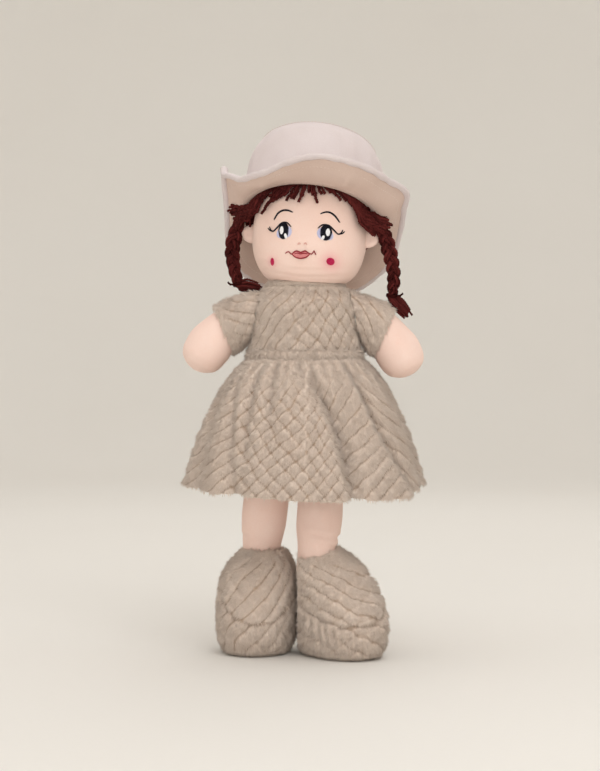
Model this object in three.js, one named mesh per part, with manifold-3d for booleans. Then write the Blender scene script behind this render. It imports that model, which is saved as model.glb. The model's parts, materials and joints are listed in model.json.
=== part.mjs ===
// A stuffed rag doll in a quilted plush dress, plush boots and a soft brimmed hat.
// It stands on its two boots and looks along -Y. Its own left hand is on the +X side.
import * as THREE from "three";
import { mergeVertices } from "three/addons/utils/BufferGeometryUtils.js";
import Module from "manifold-3d";

const wasm = await Module();
wasm.setup();

// Sizes are in millimetres and angles in degrees.

// Cloth and clearances
const GAP = 0.3;
const BODY_CLOTH = 1.5;
const PLUSH = 3.2;
const HAT_CLOTH = 1.8;
const THREAD = 0.7;

// Boots
const BOOT_HEIGHT = 84;
const BOOT_LENGTH = 92;
const BOOT_WIDTH = 67;
const BOOT_MOUTH_WIDTH = 43;
const BOOT_FORWARD = 13;
const SOLE_THICKNESS = 2.5;
const BOOTS_MEET = -8.7;
const LEG_IN_BOOT = 14;
const TOE_SEAM_HEIGHT = 58;
const TOE_SEAM_SLOPE = 33;

// Legs, from the boot tops to the leg joints
const LEG_LENGTH = 88;
const THIGH_WIDTH = 41;
const ANKLE_WIDTH = 31;
const LEG_SPACING = 46;
const LEG_SOCKET_REACH = 9;

// Seat, between the leg joints and the fold under the belly
const SEAT_RISE = 27;
const SEAT_WIDTH = 90;
const SEAT_DEPTH = 54;
const SEAT_SHIFT = -6;
const SEAT_FOLD = 70;

// Trunk, from the fold to the neck
const TRUNK_LENGTH = 113.5;
const WAIST_WIDTH = 96;
const WAIST_DEPTH = 74;
const CHEST_WIDTH = 92;
const CHEST_DEPTH = 72;
const NECK_WIDTH = 50;
const NECK_SLOPE = 3;
const BODICE_LENGTH = 58;
const WAIST_BAND_HEIGHT = 7;
const BINDING_HEIGHT = 3;

// Skirt
const SKIRT_DROP = 111;
const HEM_WIDTH = 202;
const HEM_DEPTH = 152;
const HEM_SLANT = 2.5;
const SKIRT_FOLDS = 11;
const FOLD_DEPTH = 4.5;
const HEM_DIP = 11;

// Arms and sleeves
const ARMHOLE_HEIGHT = 43;
const ARMHOLE_DEPTH = 40;
const ARMHOLE_LEAN = 11.6;
const ARMHOLE_DISTANCE = 40.3;
const SHOULDER_DROP = 25.8;
const SLEEVE_LENGTH = 31;
const SLEEVE_TURN = 30;
const SLEEVE_PUFF = 0.07;
const ARM_LENGTH = 70;
const WRIST_WIDTH = 36;
const HAND_WIDTH = 43;

// Head
const HEAD_WIDTH = 97;
const HEAD_DEPTH = 92;
const HEAD_HEIGHT = 109;
const HEAD_SHIFT = 2;
const HEAD_TURN = -8.5;
const HEAD_ROLL = 3;
const EAR_HEIGHT = 16;
const EAR_REACH = 8;
const EAR_THICKNESS = 9;
const EAR_LEVEL = 40;

// Face stitches, as places across the face and up from the neck
const EYE_LEVEL = 40;
const EYE_WIDTH = 9.2;
const EYE_HEIGHT = 13.4;
const EYE_LEFT_X = 19.5;
const EYE_RIGHT_X = -15;
const BROW_LEVEL = 51;
const BROW_RISE = 5.5;
const BROW_LENGTH = 16;
const BROW_WIDTH = 1.5;
const BROW_LEFT_X = 21.5;
const BROW_RIGHT_X = -15.5;
const NOSE_LEVEL = 29.5;
const NOSE_WIDTH = 6.5;
const MOUTH_LEVEL = 21.5;
const MOUTH_WIDTH = 24;
const LIPS_WIDTH = 15;
const LIPS_HEIGHT = 7;

// Hair
const HAIR_THICKNESS = 6;
const FRINGE_THICKNESS = 4.8;
const HAIRLINE_LEVEL = 48.6;
const HAIRLINE_RISE = 32;
const HAIRLINE_WIDTH = 100;
const FRINGE_LENGTH = 12;
const FRINGE_LOCKS = 13;
const FRINGE_RAGGED = 3.5;
const NAPE_LEVEL = 16;
const EAR_CLEAR_Y = 9;
const LOCK_RADIUS = 7;

// Braids
const BRAID_RADIUS = 6.2;
const BRAID_LOBES = 8;
const BRAID_LOBE_DEPTH = 0.7;
const BRAID_ROOT_X = 63;
const BRAID_ROOT_LEVEL = 45;
const TIE_RADIUS = 4.4;
const TIE_THICKNESS = 1.6;

// Hat
const HAT_TILT = 24;
const HAT_LEVEL = 60;
const CROWN_RADIUS = 57.5;
const CROWN_TOP_RADIUS = 47;
const CROWN_HEIGHT = 61;
const CROWN_BULGE = 4;
const CROWN_DOME = 3;
const BRIM_SAG = 3;
const HEM_RADIUS = 2.6;

// Brim edge, all round from the front over the doll's left: angle, reach from the crown, rise over its foot
const BRIM_EDGE = [
  [3, 37, -6],
  [20, 38, -2],
  [40, 32, 2],
  [64, 25, 9],
  [88, 26, 15],
  [112, 30, 12],
  [134, 38, -6],
  [159, 43, -21],
  [186, 42, -26],
  [214, 41, -26],
  [238, 31, -18],
  [262, 21, 4],
  [284, 23, 24],
  [302, 24, 8],
  [322, 21, -6],
  [342, 26, -13],
];

// What each side of the doll does in its standing pose
const SIDES = [
  {
    name: "left",
    side: 1,
    ankle: [9.5, -18],
    bootYaw: 33,
    bootLean: 16,
    armDrop: 46,
    eyeX: EYE_LEFT_X,
    browX: BROW_LEFT_X,
    braid: [
      [72, -6, -18],
      [75, -3, -36],
      [74, 1, -50],
    ],
    tuft: [
      [79, 2, -59],
      [87, 2, -68],
    ],
  },
  {
    name: "right",
    side: -1,
    ankle: [-37.3, 18],
    bootYaw: -4,
    bootLean: 5,
    armDrop: 40,
    eyeX: EYE_RIGHT_X,
    browX: BROW_RIGHT_X,
    braid: [
      [-62, 7, -18],
      [-60.5, 6, -35],
      [-57, 5, -47],
    ],
    tuft: [
      [-49, 4, -50.5],
      [-39, 3, -52.5],
    ],
  },
];

// Heights that follow from the sizes
const LEG_JOINT_Z = BOOT_HEIGHT + LEG_LENGTH;
const SEAT_AXIS_Z = LEG_JOINT_Z + SEAT_RISE;
const NECK_Z = SEAT_AXIS_Z + TRUNK_LENGTH;
const WAIST_Z = NECK_Z - BODICE_LENGTH;
const SHOULDER_Z = NECK_Z - SHOULDER_DROP;

const COLOURS = {
  cloth: [0xf3d3c2, 0.85],
  stuffing: [0xf4f2ec, 0.95],
  plush: [0xc6b6a2, 0.95],
  hat: [0xe9dcd6, 0.9],
  yarn: [0x3c1418, 0.8],
  eye: [0x1c1a24, 0.5],
  brow: [0x2c2226, 0.7],
  lips: [0xc85a60, 0.6],
  nose: [0xe8aaa2, 0.7],
  tie: [0x24100f, 0.8],
};

// Sides of a ring: broad trunk, head and boots, limbs, and the hollows inside
const BROAD = 24;
const ROUND = 20;
const SLIM = 16;
const INNER = 12;
const radians = THREE.MathUtils.degToRad;

function vector(x, y, z) {
  return new THREE.Vector3(x, y, z);
}

// A closed surface from points and triangles, turned so that its faces look outwards.
function closedSurface(points, triangles) {
  let volume = 0;
  for (const [a, b, c] of triangles) {
    volume += points[a].dot(vector(0, 0, 0).crossVectors(points[b], points[c]));
  }
  const facing = volume < 0 ? triangles.map(([a, b, c]) => [a, c, b]) : triangles;
  const geometry = new THREE.BufferGeometry().setFromPoints(points);
  geometry.setIndex(facing.flat());
  return geometry;
}

// The four-sided patches between two rings of points with the same count.
// Points from the turning one on lie back to front, so their patches split the other way.
function band(first, second, count, turning = count) {
  const triangles = [];
  for (let i = 0; i < count; i += 1) {
    const next = (i + 1) % count;
    const [a, b, c, d] = [first + i, first + next, second + next, second + i];
    triangles.push(...(i < turning ? [[a, b, c], [a, c, d]] : [[a, b, d], [b, c, d]]));
  }
  return triangles;
}

// A solid skinned over a stack of rings, closed by a fan at each end.
function loft(rings) {
  const count = rings[0].length;
  const points = rings.flat();
  const triangles = [];
  for (let k = 0; k + 1 < rings.length; k += 1) {
    triangles.push(...band(k * count, (k + 1) * count, count));
  }
  for (const [ring, start, turn] of [
    [rings[0], 0, 1],
    [rings.at(-1), (rings.length - 1) * count, -1],
  ]) {
    const middle = ring.reduce((sum, p) => sum.add(p), vector(0, 0, 0)).divideScalar(count);
    const tip = points.push(middle) - 1;
    for (let i = 0; i < count; i += 1) {
      const next = (i + 1) % count;
      triangles.push(turn > 0 ? [tip, start + next, start + i] : [tip, start + i, start + next]);
    }
  }
  return closedSurface(points, triangles);
}

// A ring-shaped solid: closed cross-sections in order round a loop, each one face out and the other back.
function hoop(sections) {
  const count = sections[0].length;
  const around = sections.length;
  const triangles = sections.flatMap((_, k) => band(k * count, ((k + 1) % around) * count, count, count / 2));
  return closedSurface(sections.flat(), triangles);
}

// A rounded oval ring: power 2 is an ellipse, and more is squarer.
function oval(center, across, along, halfWidth, halfDepth, count = ROUND, power = 2) {
  return Array.from({ length: count }, (_, i) => {
    const angle = (2 * Math.PI * i) / count;
    const round = (value) => Math.sign(value) * Math.abs(value) ** (2 / power);
    return center
      .clone()
      .addScaledVector(across, halfWidth * round(Math.cos(angle)))
      .addScaledVector(along, halfDepth * round(Math.sin(angle)));
  });
}

const X = vector(1, 0, 0);
const Y = vector(0, 1, 0);
const Z = vector(0, 0, 1);

// A level ring round (x, y, z).
function levelOval(x, y, z, halfWidth, halfDepth, count = ROUND, power = 2) {
  return oval(vector(x, y, z), X, Y, halfWidth, halfDepth, count, power);
}

// A solid along a route: stations give the share of the route, the half width and the half depth.
function limb(route, stations, side, count = ROUND) {
  return loft(
    stations.map(([share, halfWidth, halfDepth]) => {
      const ahead = route.getTangentAt(share);
      const across = side.clone().addScaledVector(ahead, -side.dot(ahead)).normalize();
      const along = vector(0, 0, 0).crossVectors(ahead, across);
      return oval(route.getPointAt(share), across, along, halfWidth, halfDepth, count);
    }),
  );
}

function solid(geometry) {
  const bare = geometry.clone();
  bare.deleteAttribute("normal");
  bare.deleteAttribute("uv");
  const merged = mergeVertices(bare);
  return new wasm.Manifold(
    new wasm.Mesh({
      numProp: 3,
      vertProperties: new Float32Array(merged.attributes.position.array),
      triVerts: new Uint32Array(merged.index.array),
    }),
  );
}

function cut(base, ...tools) {
  return tools.reduce((left, tool) => left.subtract(tool), base);
}

// The mesh of a solid, or of a plain geometry.
function piece(name, shape, [colour, roughness]) {
  let geometry = shape;
  if (!shape.isBufferGeometry) {
    const { vertProperties, triVerts } = shape.getMesh();
    geometry = new THREE.BufferGeometry();
    geometry.setAttribute("position", new THREE.BufferAttribute(vertProperties, 3));
    geometry.setIndex(new THREE.BufferAttribute(triVerts, 1));
  }
  geometry.computeVertexNormals();
  const mesh = new THREE.Mesh(
    geometry,
    new THREE.MeshStandardMaterial({ color: colour, roughness, metalness: 0 }),
  );
  mesh.name = name;
  return mesh;
}

function box(center, width, depth, height, turn = new THREE.Matrix4()) {
  const block = new THREE.BoxGeometry(width, depth, height).applyMatrix4(turn);
  return solid(block.translate(center.x, center.y, center.z));
}

// A ball whose flats just clear the radius.
function ball(center, radius) {
  const [around, upright] = [16, 10];
  const flats = Math.cos(Math.PI / around) * Math.cos(Math.PI / (2 * upright));
  const sphere = new THREE.SphereGeometry(radius / flats, around, upright);
  return solid(sphere.translate(center.x, center.y, center.z));
}

// A straight block under an outline drawn across (x) and up (z), reaching from one depth to another.
function pushedThrough(outline, fromY, toY) {
  const block = new THREE.ExtrudeGeometry(outline, { depth: toY - fromY, bevelEnabled: false, curveSegments: 8 });
  block.rotateX(Math.PI / 2);
  return solid(block.translate(0, toY, 0));
}

// Value of a smooth closed run of control values at an angle in degrees.
function roundValue(controls, angle, column) {
  const count = controls.length;
  const at = (i) => controls[((i % count) + count) % count];
  const place = (i) => at(i)[0] + 360 * Math.floor(i / count);
  let i = 0;
  let wanted = angle;
  while (wanted < place(0)) wanted += 360;
  while (place(i + 1) <= wanted) i += 1;
  const share = (wanted - place(i)) / (place(i + 1) - place(i));
  const [a, b, c, d] = [i - 1, i, i + 1, i + 2].map((k) => at(k)[column]);
  const slopes = [(c - a) / 2, (d - b) / 2];
  const square = share * share;
  const cube = square * share;
  return (
    (2 * cube - 3 * square + 1) * b +
    (cube - 2 * square + share) * slopes[0] +
    (3 * square - 2 * cube) * c +
    (cube - square) * slopes[1]
  );
}

// Trunk
// Stations up the trunk: share of the way from the fold to the waist, or from the waist to the neck.
function trunkSolid(grow) {
  const below = WAIST_Z - SEAT_AXIS_Z;
  const clothing = PLUSH + 2 * GAP;
  const count = grow < 0 ? SLIM : BROAD;
  const ring = (z, width, depth, power) =>
    levelOval(0, 0, z, width / 2 - clothing + grow, depth / 2 - clothing + grow, count, power);
  return loft([
    ring(SEAT_AXIS_Z - grow, SEAT_WIDTH + 4, CHEST_DEPTH - 6, 2.4),
    ring(SEAT_AXIS_Z + 0.5 * below, WAIST_WIDTH, CHEST_DEPTH, 2.3),
    ring(WAIST_Z, WAIST_WIDTH, WAIST_DEPTH, 2.2),
    ring(WAIST_Z + 0.35 * BODICE_LENGTH, CHEST_WIDTH, CHEST_DEPTH, 2.3),
    ring(WAIST_Z + 0.7 * BODICE_LENGTH, CHEST_WIDTH - 2, CHEST_DEPTH - 6, 2.5),
    ring(WAIST_Z + 0.9 * BODICE_LENGTH, CHEST_WIDTH - 18, CHEST_DEPTH - 20, 2.4),
    ring(NECK_Z + NECK_SLOPE + grow, NECK_WIDTH + 2 * clothing, NECK_WIDTH - 6 + 2 * clothing, 2),
  ]);
}

// The seat and the hollow for it under the trunk: round about the fold, straight below it.
function seatSolid(grow) {
  const half = SEAT_WIDTH / 2;
  const radius = SEAT_DEPTH / 2;
  const bottom = LEG_SOCKET_REACH - SEAT_RISE;
  const sections = [];
  const steps = 8;
  // The flats of the hollow clear the circle that the seat turns in.
  const flats = grow > 0 ? Math.cos(Math.PI / (2 * steps)) : 1;
  for (const share of [-1, -0.92, -0.7, 0, 0.7, 0.92, 1]) {
    const scale = Math.sqrt(Math.max(0, 1 - Math.abs(share) ** 5)) * 0.9 + 0.1;
    const r = (radius * scale + grow) / flats;
    const ring = [];
    for (let i = 0; i <= steps; i += 1) {
      const angle = (Math.PI * i) / steps;
      ring.push(vector(SEAT_SHIFT + share * (half + grow), r * Math.cos(angle), SEAT_AXIS_Z + r * Math.sin(angle)));
    }
    ring.push(vector(SEAT_SHIFT + share * (half + grow), -r, SEAT_AXIS_Z + bottom - grow));
    ring.push(vector(SEAT_SHIFT + share * (half + grow), r, SEAT_AXIS_Z + bottom - grow));
    sections.push(ring);
  }
  return loft(sections);
}

// The opening in a skin at the neck, through which it is stuffed.
function seamOpening(z) {
  const radius = NECK_WIDTH / 4;
  const ring = (height) => levelOval(0, 0, height, radius, radius, INNER);
  return solid(loft([ring(z - 4 * BODY_CLOTH), ring(z + 4 * BODY_CLOTH)]));
}

// The room that the lap sweeps in front when the seat folds, with a clearance round it.
function lapRoom(clearance) {
  const thick = SEAT_DEPTH + 2 * clearance;
  const reach = 2 * TRUNK_LENGTH;
  const fold = new THREE.Matrix4().makeRotationX(-radians(SEAT_FOLD));
  const shift = vector(0, 0, -reach / 2).applyMatrix4(fold);
  return box(vector(SEAT_SHIFT, 0, SEAT_AXIS_Z).add(shift), 2 * SEAT_WIDTH, thick, reach, fold);
}

// The block outside an armhole, whose face is the armhole plane, moved out by a clearance.
function outsideArmhole(side, clearance) {
  const reach = 4 * ARM_LENGTH;
  const lean = new THREE.Matrix4().makeRotationY(-side * radians(ARMHOLE_LEAN));
  const out = vector(side, 0, 0).applyMatrix4(lean);
  const center = vector(side * ARMHOLE_DISTANCE, 0, SHOULDER_Z).addScaledVector(out, reach / 2 + clearance);
  return box(center, reach, reach, reach, lean);
}

// The block over the neck, whose under face is the plane that the head turns on.
function overNeck(clearance) {
  const reach = 2 * HEAD_HEIGHT;
  const roll = new THREE.Matrix4().makeRotationY(radians(HEAD_ROLL));
  const up = vector(0, 0, reach / 2 - clearance).applyMatrix4(roll);
  return box(vector(HEAD_SHIFT, 0, NECK_Z).add(up), reach, reach, reach, roll);
}

function makeTrunk() {
  const group = new THREE.Group();
  const armholes = (inset) => [outsideArmhole(1, -inset), outsideArmhole(-1, -inset)];
  const room = (clearance) => [lapRoom(clearance + GAP), solid(seatSolid(clearance))];
  const slice = (low, high) =>
    box(vector(0, 0, (low + high) / 2), 3 * CHEST_WIDTH, 3 * CHEST_DEPTH, high - low);
  const neckTop = NECK_Z + NECK_SLOPE;
  const outer = GAP + PLUSH;
  const above = NECK_Z - BINDING_HEIGHT;

  const skin = cut(solid(trunkSolid(0)), overNeck(0), ...armholes(outer + GAP), ...room(GAP));
  const inner = GAP + BODY_CLOTH;
  const hollow = cut(solid(trunkSolid(-BODY_CLOTH)), ...armholes(outer + inner), ...room(inner));
  const inside = cut(hollow, overNeck(BODY_CLOTH)).add(seamOpening(NECK_Z));
  group.add(piece("torso_skin", cut(skin, inside), COLOURS.cloth));
  const stuffed = cut(
    solid(trunkSolid(-inner)),
    overNeck(inner),
    ...armholes(outer + inner + GAP),
    ...room(inner + GAP),
  );
  group.add(piece("torso_filling", stuffed, COLOURS.stuffing));

  const dress = cut(solid(trunkSolid(outer)), solid(trunkSolid(GAP)), ...armholes(0));
  const bodiceRange = slice(WAIST_Z + GAP, above - GAP);
  group.add(piece("bodice", dress.intersect(bodiceRange), COLOURS.plush));
  const band = cut(solid(trunkSolid(outer + 0.6)), solid(trunkSolid(GAP)));
  group.add(piece("waist_band", band.intersect(slice(WAIST_Z - WAIST_BAND_HEIGHT, WAIST_Z)), COLOURS.plush));
  const neckline = cut(solid(trunkSolid(outer - 1)), solid(trunkSolid(GAP)));
  const binding = cut(neckline.intersect(slice(above, neckTop)), overNeck(0));
  group.add(piece("neck_binding", binding, COLOURS.plush));
  group.add(piece("skirt", makeSkirt(), COLOURS.plush));
  return group;
}

// Skirt: share of the drop, share of the flare, share of the fold depth
const SKIRT_PROFILE = [
  [0, 0, 0],
  [0.12, 0.27, 0.4],
  [0.32, 0.54, 0.75],
  [0.65, 0.8, 0.95],
  [1, 1, 1],
];

function makeSkirt() {
  const top = WAIST_Z - WAIST_BAND_HEIGHT - GAP;
  const around = 6 * SKIRT_FOLDS;
  const round = (value, power) => Math.sign(value) * Math.abs(value) ** (2 / power);
  const sections = [];
  for (let k = 0; k < around; k += 1) {
    const angle = (2 * Math.PI * k) / around;
    const front = Math.max(0, Math.sin(-angle));
    const drop = SKIRT_DROP - WAIST_BAND_HEIGHT + HEM_DIP * front + HEM_SLANT * Math.cos(angle);
    const at = ([share, flare, folded], inset) => {
      const wave = Math.cos(SKIRT_FOLDS * angle + 0.8 * share) * FOLD_DEPTH * folded;
      const width = (WAIST_WIDTH + (HEM_WIDTH - WAIST_WIDTH) * flare) / 2;
      const depth = (WAIST_DEPTH + (HEM_DEPTH - WAIST_DEPTH) * flare) / 2;
      const power = 2 + 0.5 * (1 - share);
      return vector(
        (width + wave - inset) * round(Math.cos(angle), power),
        (depth + wave - inset) * round(Math.sin(angle), power),
        top - drop * share,
      );
    };
    const outside = SKIRT_PROFILE.map((station) => at(station, 0));
    const inside = SKIRT_PROFILE.map((station) => at(station, PLUSH)).reverse();
    sections.push([...outside, ...inside]);
  }
  return hoop(sections);
}

// Arms
function makeArm({ name, side, armDrop }) {
  const group = new THREE.Group();
  const out = vector(side, 0, 0).applyAxisAngle(Y, -side * radians(ARMHOLE_LEAN));
  const start = vector(side * ARMHOLE_DISTANCE, 0, SHOULDER_Z);
  const heading = vector(side, 0, 0).applyAxisAngle(Y, side * radians(armDrop));
  const along = (distance) => start.clone().addScaledVector(heading, distance);
  const bend = start.clone().addScaledVector(out, 0.35 * ARM_LENGTH);
  const drooped = along(ARM_LENGTH).addScaledVector(Z, -0.03 * ARM_LENGTH);
  const route = new THREE.QuadraticBezierCurve3(start.clone().addScaledVector(out, -6), bend, drooped);
  const wrist = WRIST_WIDTH / 2;
  const hand = HAND_WIDTH / 2;
  const armSolid = (grow) =>
    solid(
      limb(
        route,
        [
          [0, wrist, wrist],
          [0.35, wrist, wrist],
          [0.55, 0.6 * wrist + 0.4 * hand, wrist],
          [0.7, hand, hand * 0.92],
          [0.82, hand * 0.95, hand * 0.88],
          [0.91, hand * 0.78, hand * 0.72],
          [0.97, hand * 0.48, hand * 0.45],
          [1, hand * 0.15, hand * 0.15],
        ].map(([share, a, b]) => [share, a + grow, b + grow]),
        Y,
        grow < 0 ? INNER : SLIM,
      ),
    );
  const beyond = (clearance) => outsideArmhole(side, clearance);
  const skin = cut(armSolid(0), armSolid(-BODY_CLOTH)).intersect(beyond(GAP));
  const filling = armSolid(-BODY_CLOTH - GAP).intersect(beyond(GAP));
  group.add(piece("arm_skin_" + name, skin, COLOURS.cloth));
  group.add(piece("arm_filling_" + name, filling, COLOURS.stuffing));

  const opening = out.clone().applyAxisAngle(Y, side * radians(SLEEVE_TURN));
  const sleeveRing = (share, scale) => {
    const facing = out.clone().lerp(opening, share).normalize();
    const up = vector(0, 0, 0).crossVectors(facing, Y).multiplyScalar(-1);
    const center = route.getPointAt(0.09).lerp(route.getPointAt(0.09 + SLEEVE_LENGTH / ARM_LENGTH), share);
    return oval(center, Y, up, (ARMHOLE_DEPTH / 2) * scale, (ARMHOLE_HEIGHT / 2) * scale, SLIM);
  };
  const sleeveOuter = solid(
    loft([0, 0.35, 0.7, 1].map((share) => sleeveRing(share, 1 + SLEEVE_PUFF * Math.sin(2.4 * share)))),
  );
  const sleeve = cut(sleeveOuter, armSolid(GAP)).intersect(beyond(GAP));
  group.add(piece("sleeve_" + name, sleeve, COLOURS.plush));
  return group;
}

// Seat
function makeSeat() {
  const group = new THREE.Group();
  const sockets = (clearance) => SIDES.map(({ side }) => ball(legJoint(side), THIGH_WIDTH / 2 + clearance));
  const shell = cut(solid(seatSolid(0)), ...sockets(GAP), solid(seatSolid(-BODY_CLOTH)));
  const filling = cut(solid(seatSolid(-BODY_CLOTH - GAP)), ...sockets(3 * GAP));
  group.add(piece("seat_skin", shell, COLOURS.cloth));
  group.add(piece("seat_filling", filling, COLOURS.stuffing));
  return group;
}

function legJoint(side) {
  return vector(SEAT_SHIFT + (side * LEG_SPACING) / 2, 0, LEG_JOINT_Z);
}

// Legs and boots
function makeLeg({ name, side, ankle, bootYaw, bootLean }) {
  const group = new THREE.Group();
  const hip = legJoint(side);
  const [ankleX, ankleY] = ankle;
  const foot = vector(ankleX, ankleY, BOOT_HEIGHT);
  const down = foot.clone().sub(hip).normalize();
  const bottom = foot.clone().addScaledVector(down, LEG_IN_BOOT);
  const thigh = THIGH_WIDTH / 2;
  const ankleHalf = ANKLE_WIDTH / 2;
  const legSolid = (grow, low) => {
    const count = grow < 0 ? INNER : SLIM;
    const rings = [];
    for (let i = 0; i <= 3; i += 1) {
      const angle = radians(15 + 25 * i);
      const r = (thigh + grow) * Math.sin(angle);
      const center = hip.clone().addScaledVector(Z, (thigh + grow) * Math.cos(angle));
      rings.push(oval(center, X, Y, r, r, count));
    }
    for (const [share, half] of [
      [0.3, thigh * 0.96],
      [0.62, (thigh + ankleHalf) / 2 + 0.8],
      [0.9, ankleHalf],
    ]) {
      rings.push(oval(hip.clone().lerp(bottom, share), X, Y, half + grow, half + grow, count));
    }
    const end = bottom.clone().addScaledVector(down, low);
    rings.push(oval(end, X, Y, ankleHalf + grow, ankleHalf + grow, count));
    return solid(loft(rings));
  };
  group.add(piece("leg_skin_" + name, cut(legSolid(0, 0), legSolid(-BODY_CLOTH, 2)), COLOURS.cloth));
  group.add(piece("leg_filling_" + name, legSolid(-BODY_CLOTH - GAP, 0), COLOURS.stuffing));

  const yaw = new THREE.Matrix4().makeRotationZ(radians(bootYaw));
  const place = new THREE.Matrix4().makeTranslation(ankleX, ankleY, 0).multiply(yaw);
  const mouth = BOOT_MOUTH_WIDTH / 2;
  const length = BOOT_LENGTH / 2;
  const width = BOOT_WIDTH / 2;
  // Stations up the boot: height, half width, half length, share of the way forward
  const stations = [
    [0, width * 0.72, length * 0.76, 1],
    [5, width * 0.87, length * 0.9, 1],
    [14, width * 0.97, length * 0.98, 1],
    [28, width, length, 1],
    [0.5 * BOOT_HEIGHT, width * 0.97, length * 0.9, 0.85],
    [0.68 * BOOT_HEIGHT, width * 0.86, length * 0.7, 0.55],
    [0.85 * BOOT_HEIGHT, width * 0.73, length * 0.52, 0.2],
    [BOOT_HEIGHT, mouth, mouth, 0],
  ];
  const beside = (inset) => {
    const reach = 4 * BOOT_LENGTH;
    const middle = BOOTS_MEET + side * (GAP / 2 + inset - reach / 2);
    return box(vector(middle, 0, 0), reach, reach, reach);
  };
  const bootSolid = (inset, lift) => {
    const shape = solid(
      loft(
        stations.map(([height, halfWidth, halfLength, forward]) => {
          const z = height === 0 ? lift : Math.max(height, lift + 1);
          return levelOval(
            side * bootLean * forward,
            -BOOT_FORWARD * forward,
            z - (height === BOOT_HEIGHT ? inset : 0),
            halfWidth - inset,
            halfLength - inset,
            inset > 0 ? INNER : ROUND,
            2.2,
          );
        }),
      ).applyMatrix4(place),
    );
    return cut(shape, beside(inset));
  };
  const legRoom = legSolid(GAP, GAP);
  const whole = bootSolid(0, 0);
  const above = (z) => box(vector(ankleX, ankleY, z + BOOT_HEIGHT), 4 * BOOT_LENGTH, 4 * BOOT_LENGTH, 2 * BOOT_HEIGHT);
  const sole = cut(whole, above(SOLE_THICKNESS));
  const floor = SOLE_THICKNESS + GAP;
  const upper = cut(whole, bootSolid(PLUSH, floor), legRoom).intersect(above(floor));
  const slope = new THREE.Matrix4().makeRotationX(radians(TOE_SEAM_SLOPE));
  const toeBlock = (clearance) => {
    const reach = 4 * BOOT_LENGTH;
    const middle = vector(0, 0, -reach / 2 - clearance).applyMatrix4(slope);
    const center = vector(0, -BOOT_FORWARD, TOE_SEAM_HEIGHT).add(middle).applyMatrix4(place);
    return box(center, reach, reach, reach, yaw.clone().multiply(slope));
  };
  group.add(piece("boot_sole_" + name, sole, COLOURS.plush));
  group.add(piece("boot_toe_" + name, upper.intersect(toeBlock(GAP)), COLOURS.plush));
  group.add(piece("boot_shaft_" + name, cut(upper, toeBlock(0)), COLOURS.plush));
  const filling = cut(bootSolid(PLUSH + GAP, floor), legRoom).intersect(above(floor));
  group.add(piece("boot_filling_" + name, filling, COLOURS.stuffing));
  return group;
}

// Head
// Stations up the head: share of the height, share of the half width
const HEAD_PROFILE = [
  [0, 0.62],
  [0.035, 0.75],
  [0.1, 0.87],
  [0.19, 0.95],
  [0.29, 0.99],
  [0.4, 1],
  [0.53, 0.98],
  [0.66, 0.92],
  [0.78, 0.81],
  [0.88, 0.65],
  [0.95, 0.46],
  [1, 0.2],
];

function headSolid(grow) {
  const last = HEAD_PROFILE.length - 1;
  return solid(
    loft(
      HEAD_PROFILE.map(([height, width], i) => {
        const shift = i === 0 ? -grow : i === last ? grow : 0;
        return levelOval(
          0,
          0,
          height * HEAD_HEIGHT + shift,
          (width * HEAD_WIDTH) / 2 + grow,
          (width * HEAD_DEPTH) / 2 + grow,
          grow < 0 ? INNER : ROUND,
          2.1,
        );
      }),
    ),
  );
}

// A flat outline that follows a list of (x, z) points.
function outlineOf(points) {
  return new THREE.Shape(points.map(([x, z]) => new THREE.Vector2(x, z)));
}

function ellipseOutline(x, z, halfWidth, halfHeight) {
  const outline = new THREE.Shape();
  outline.absellipse(x, z, halfWidth, halfHeight, 0, 2 * Math.PI);
  return outline;
}

// A stitched patch of thread on the face, under an outline.
function stitched(name, outline, colours) {
  const thread = cut(headSolid(GAP + THREAD), headSolid(GAP));
  return piece(name, thread.intersect(pushedThrough(outline, -HEAD_DEPTH, 0)), colours);
}

// An arch open below: half width and rise over the hairline level, and how ragged its edge is.
function archOutline(halfWidth, rise, ragged, low) {
  const steps = 2 * FRINGE_LOCKS;
  const points = [];
  for (let i = 0; i <= steps; i += 1) {
    const angle = (Math.PI * i) / steps;
    const tooth = i % 2 ? ragged : 0;
    points.push([
      (halfWidth - tooth) * Math.cos(angle),
      HAIRLINE_LEVEL + (rise - tooth) * Math.sin(angle),
    ]);
  }
  return outlineOf([...points, [-halfWidth, low], [halfWidth, low]]);
}

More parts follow.
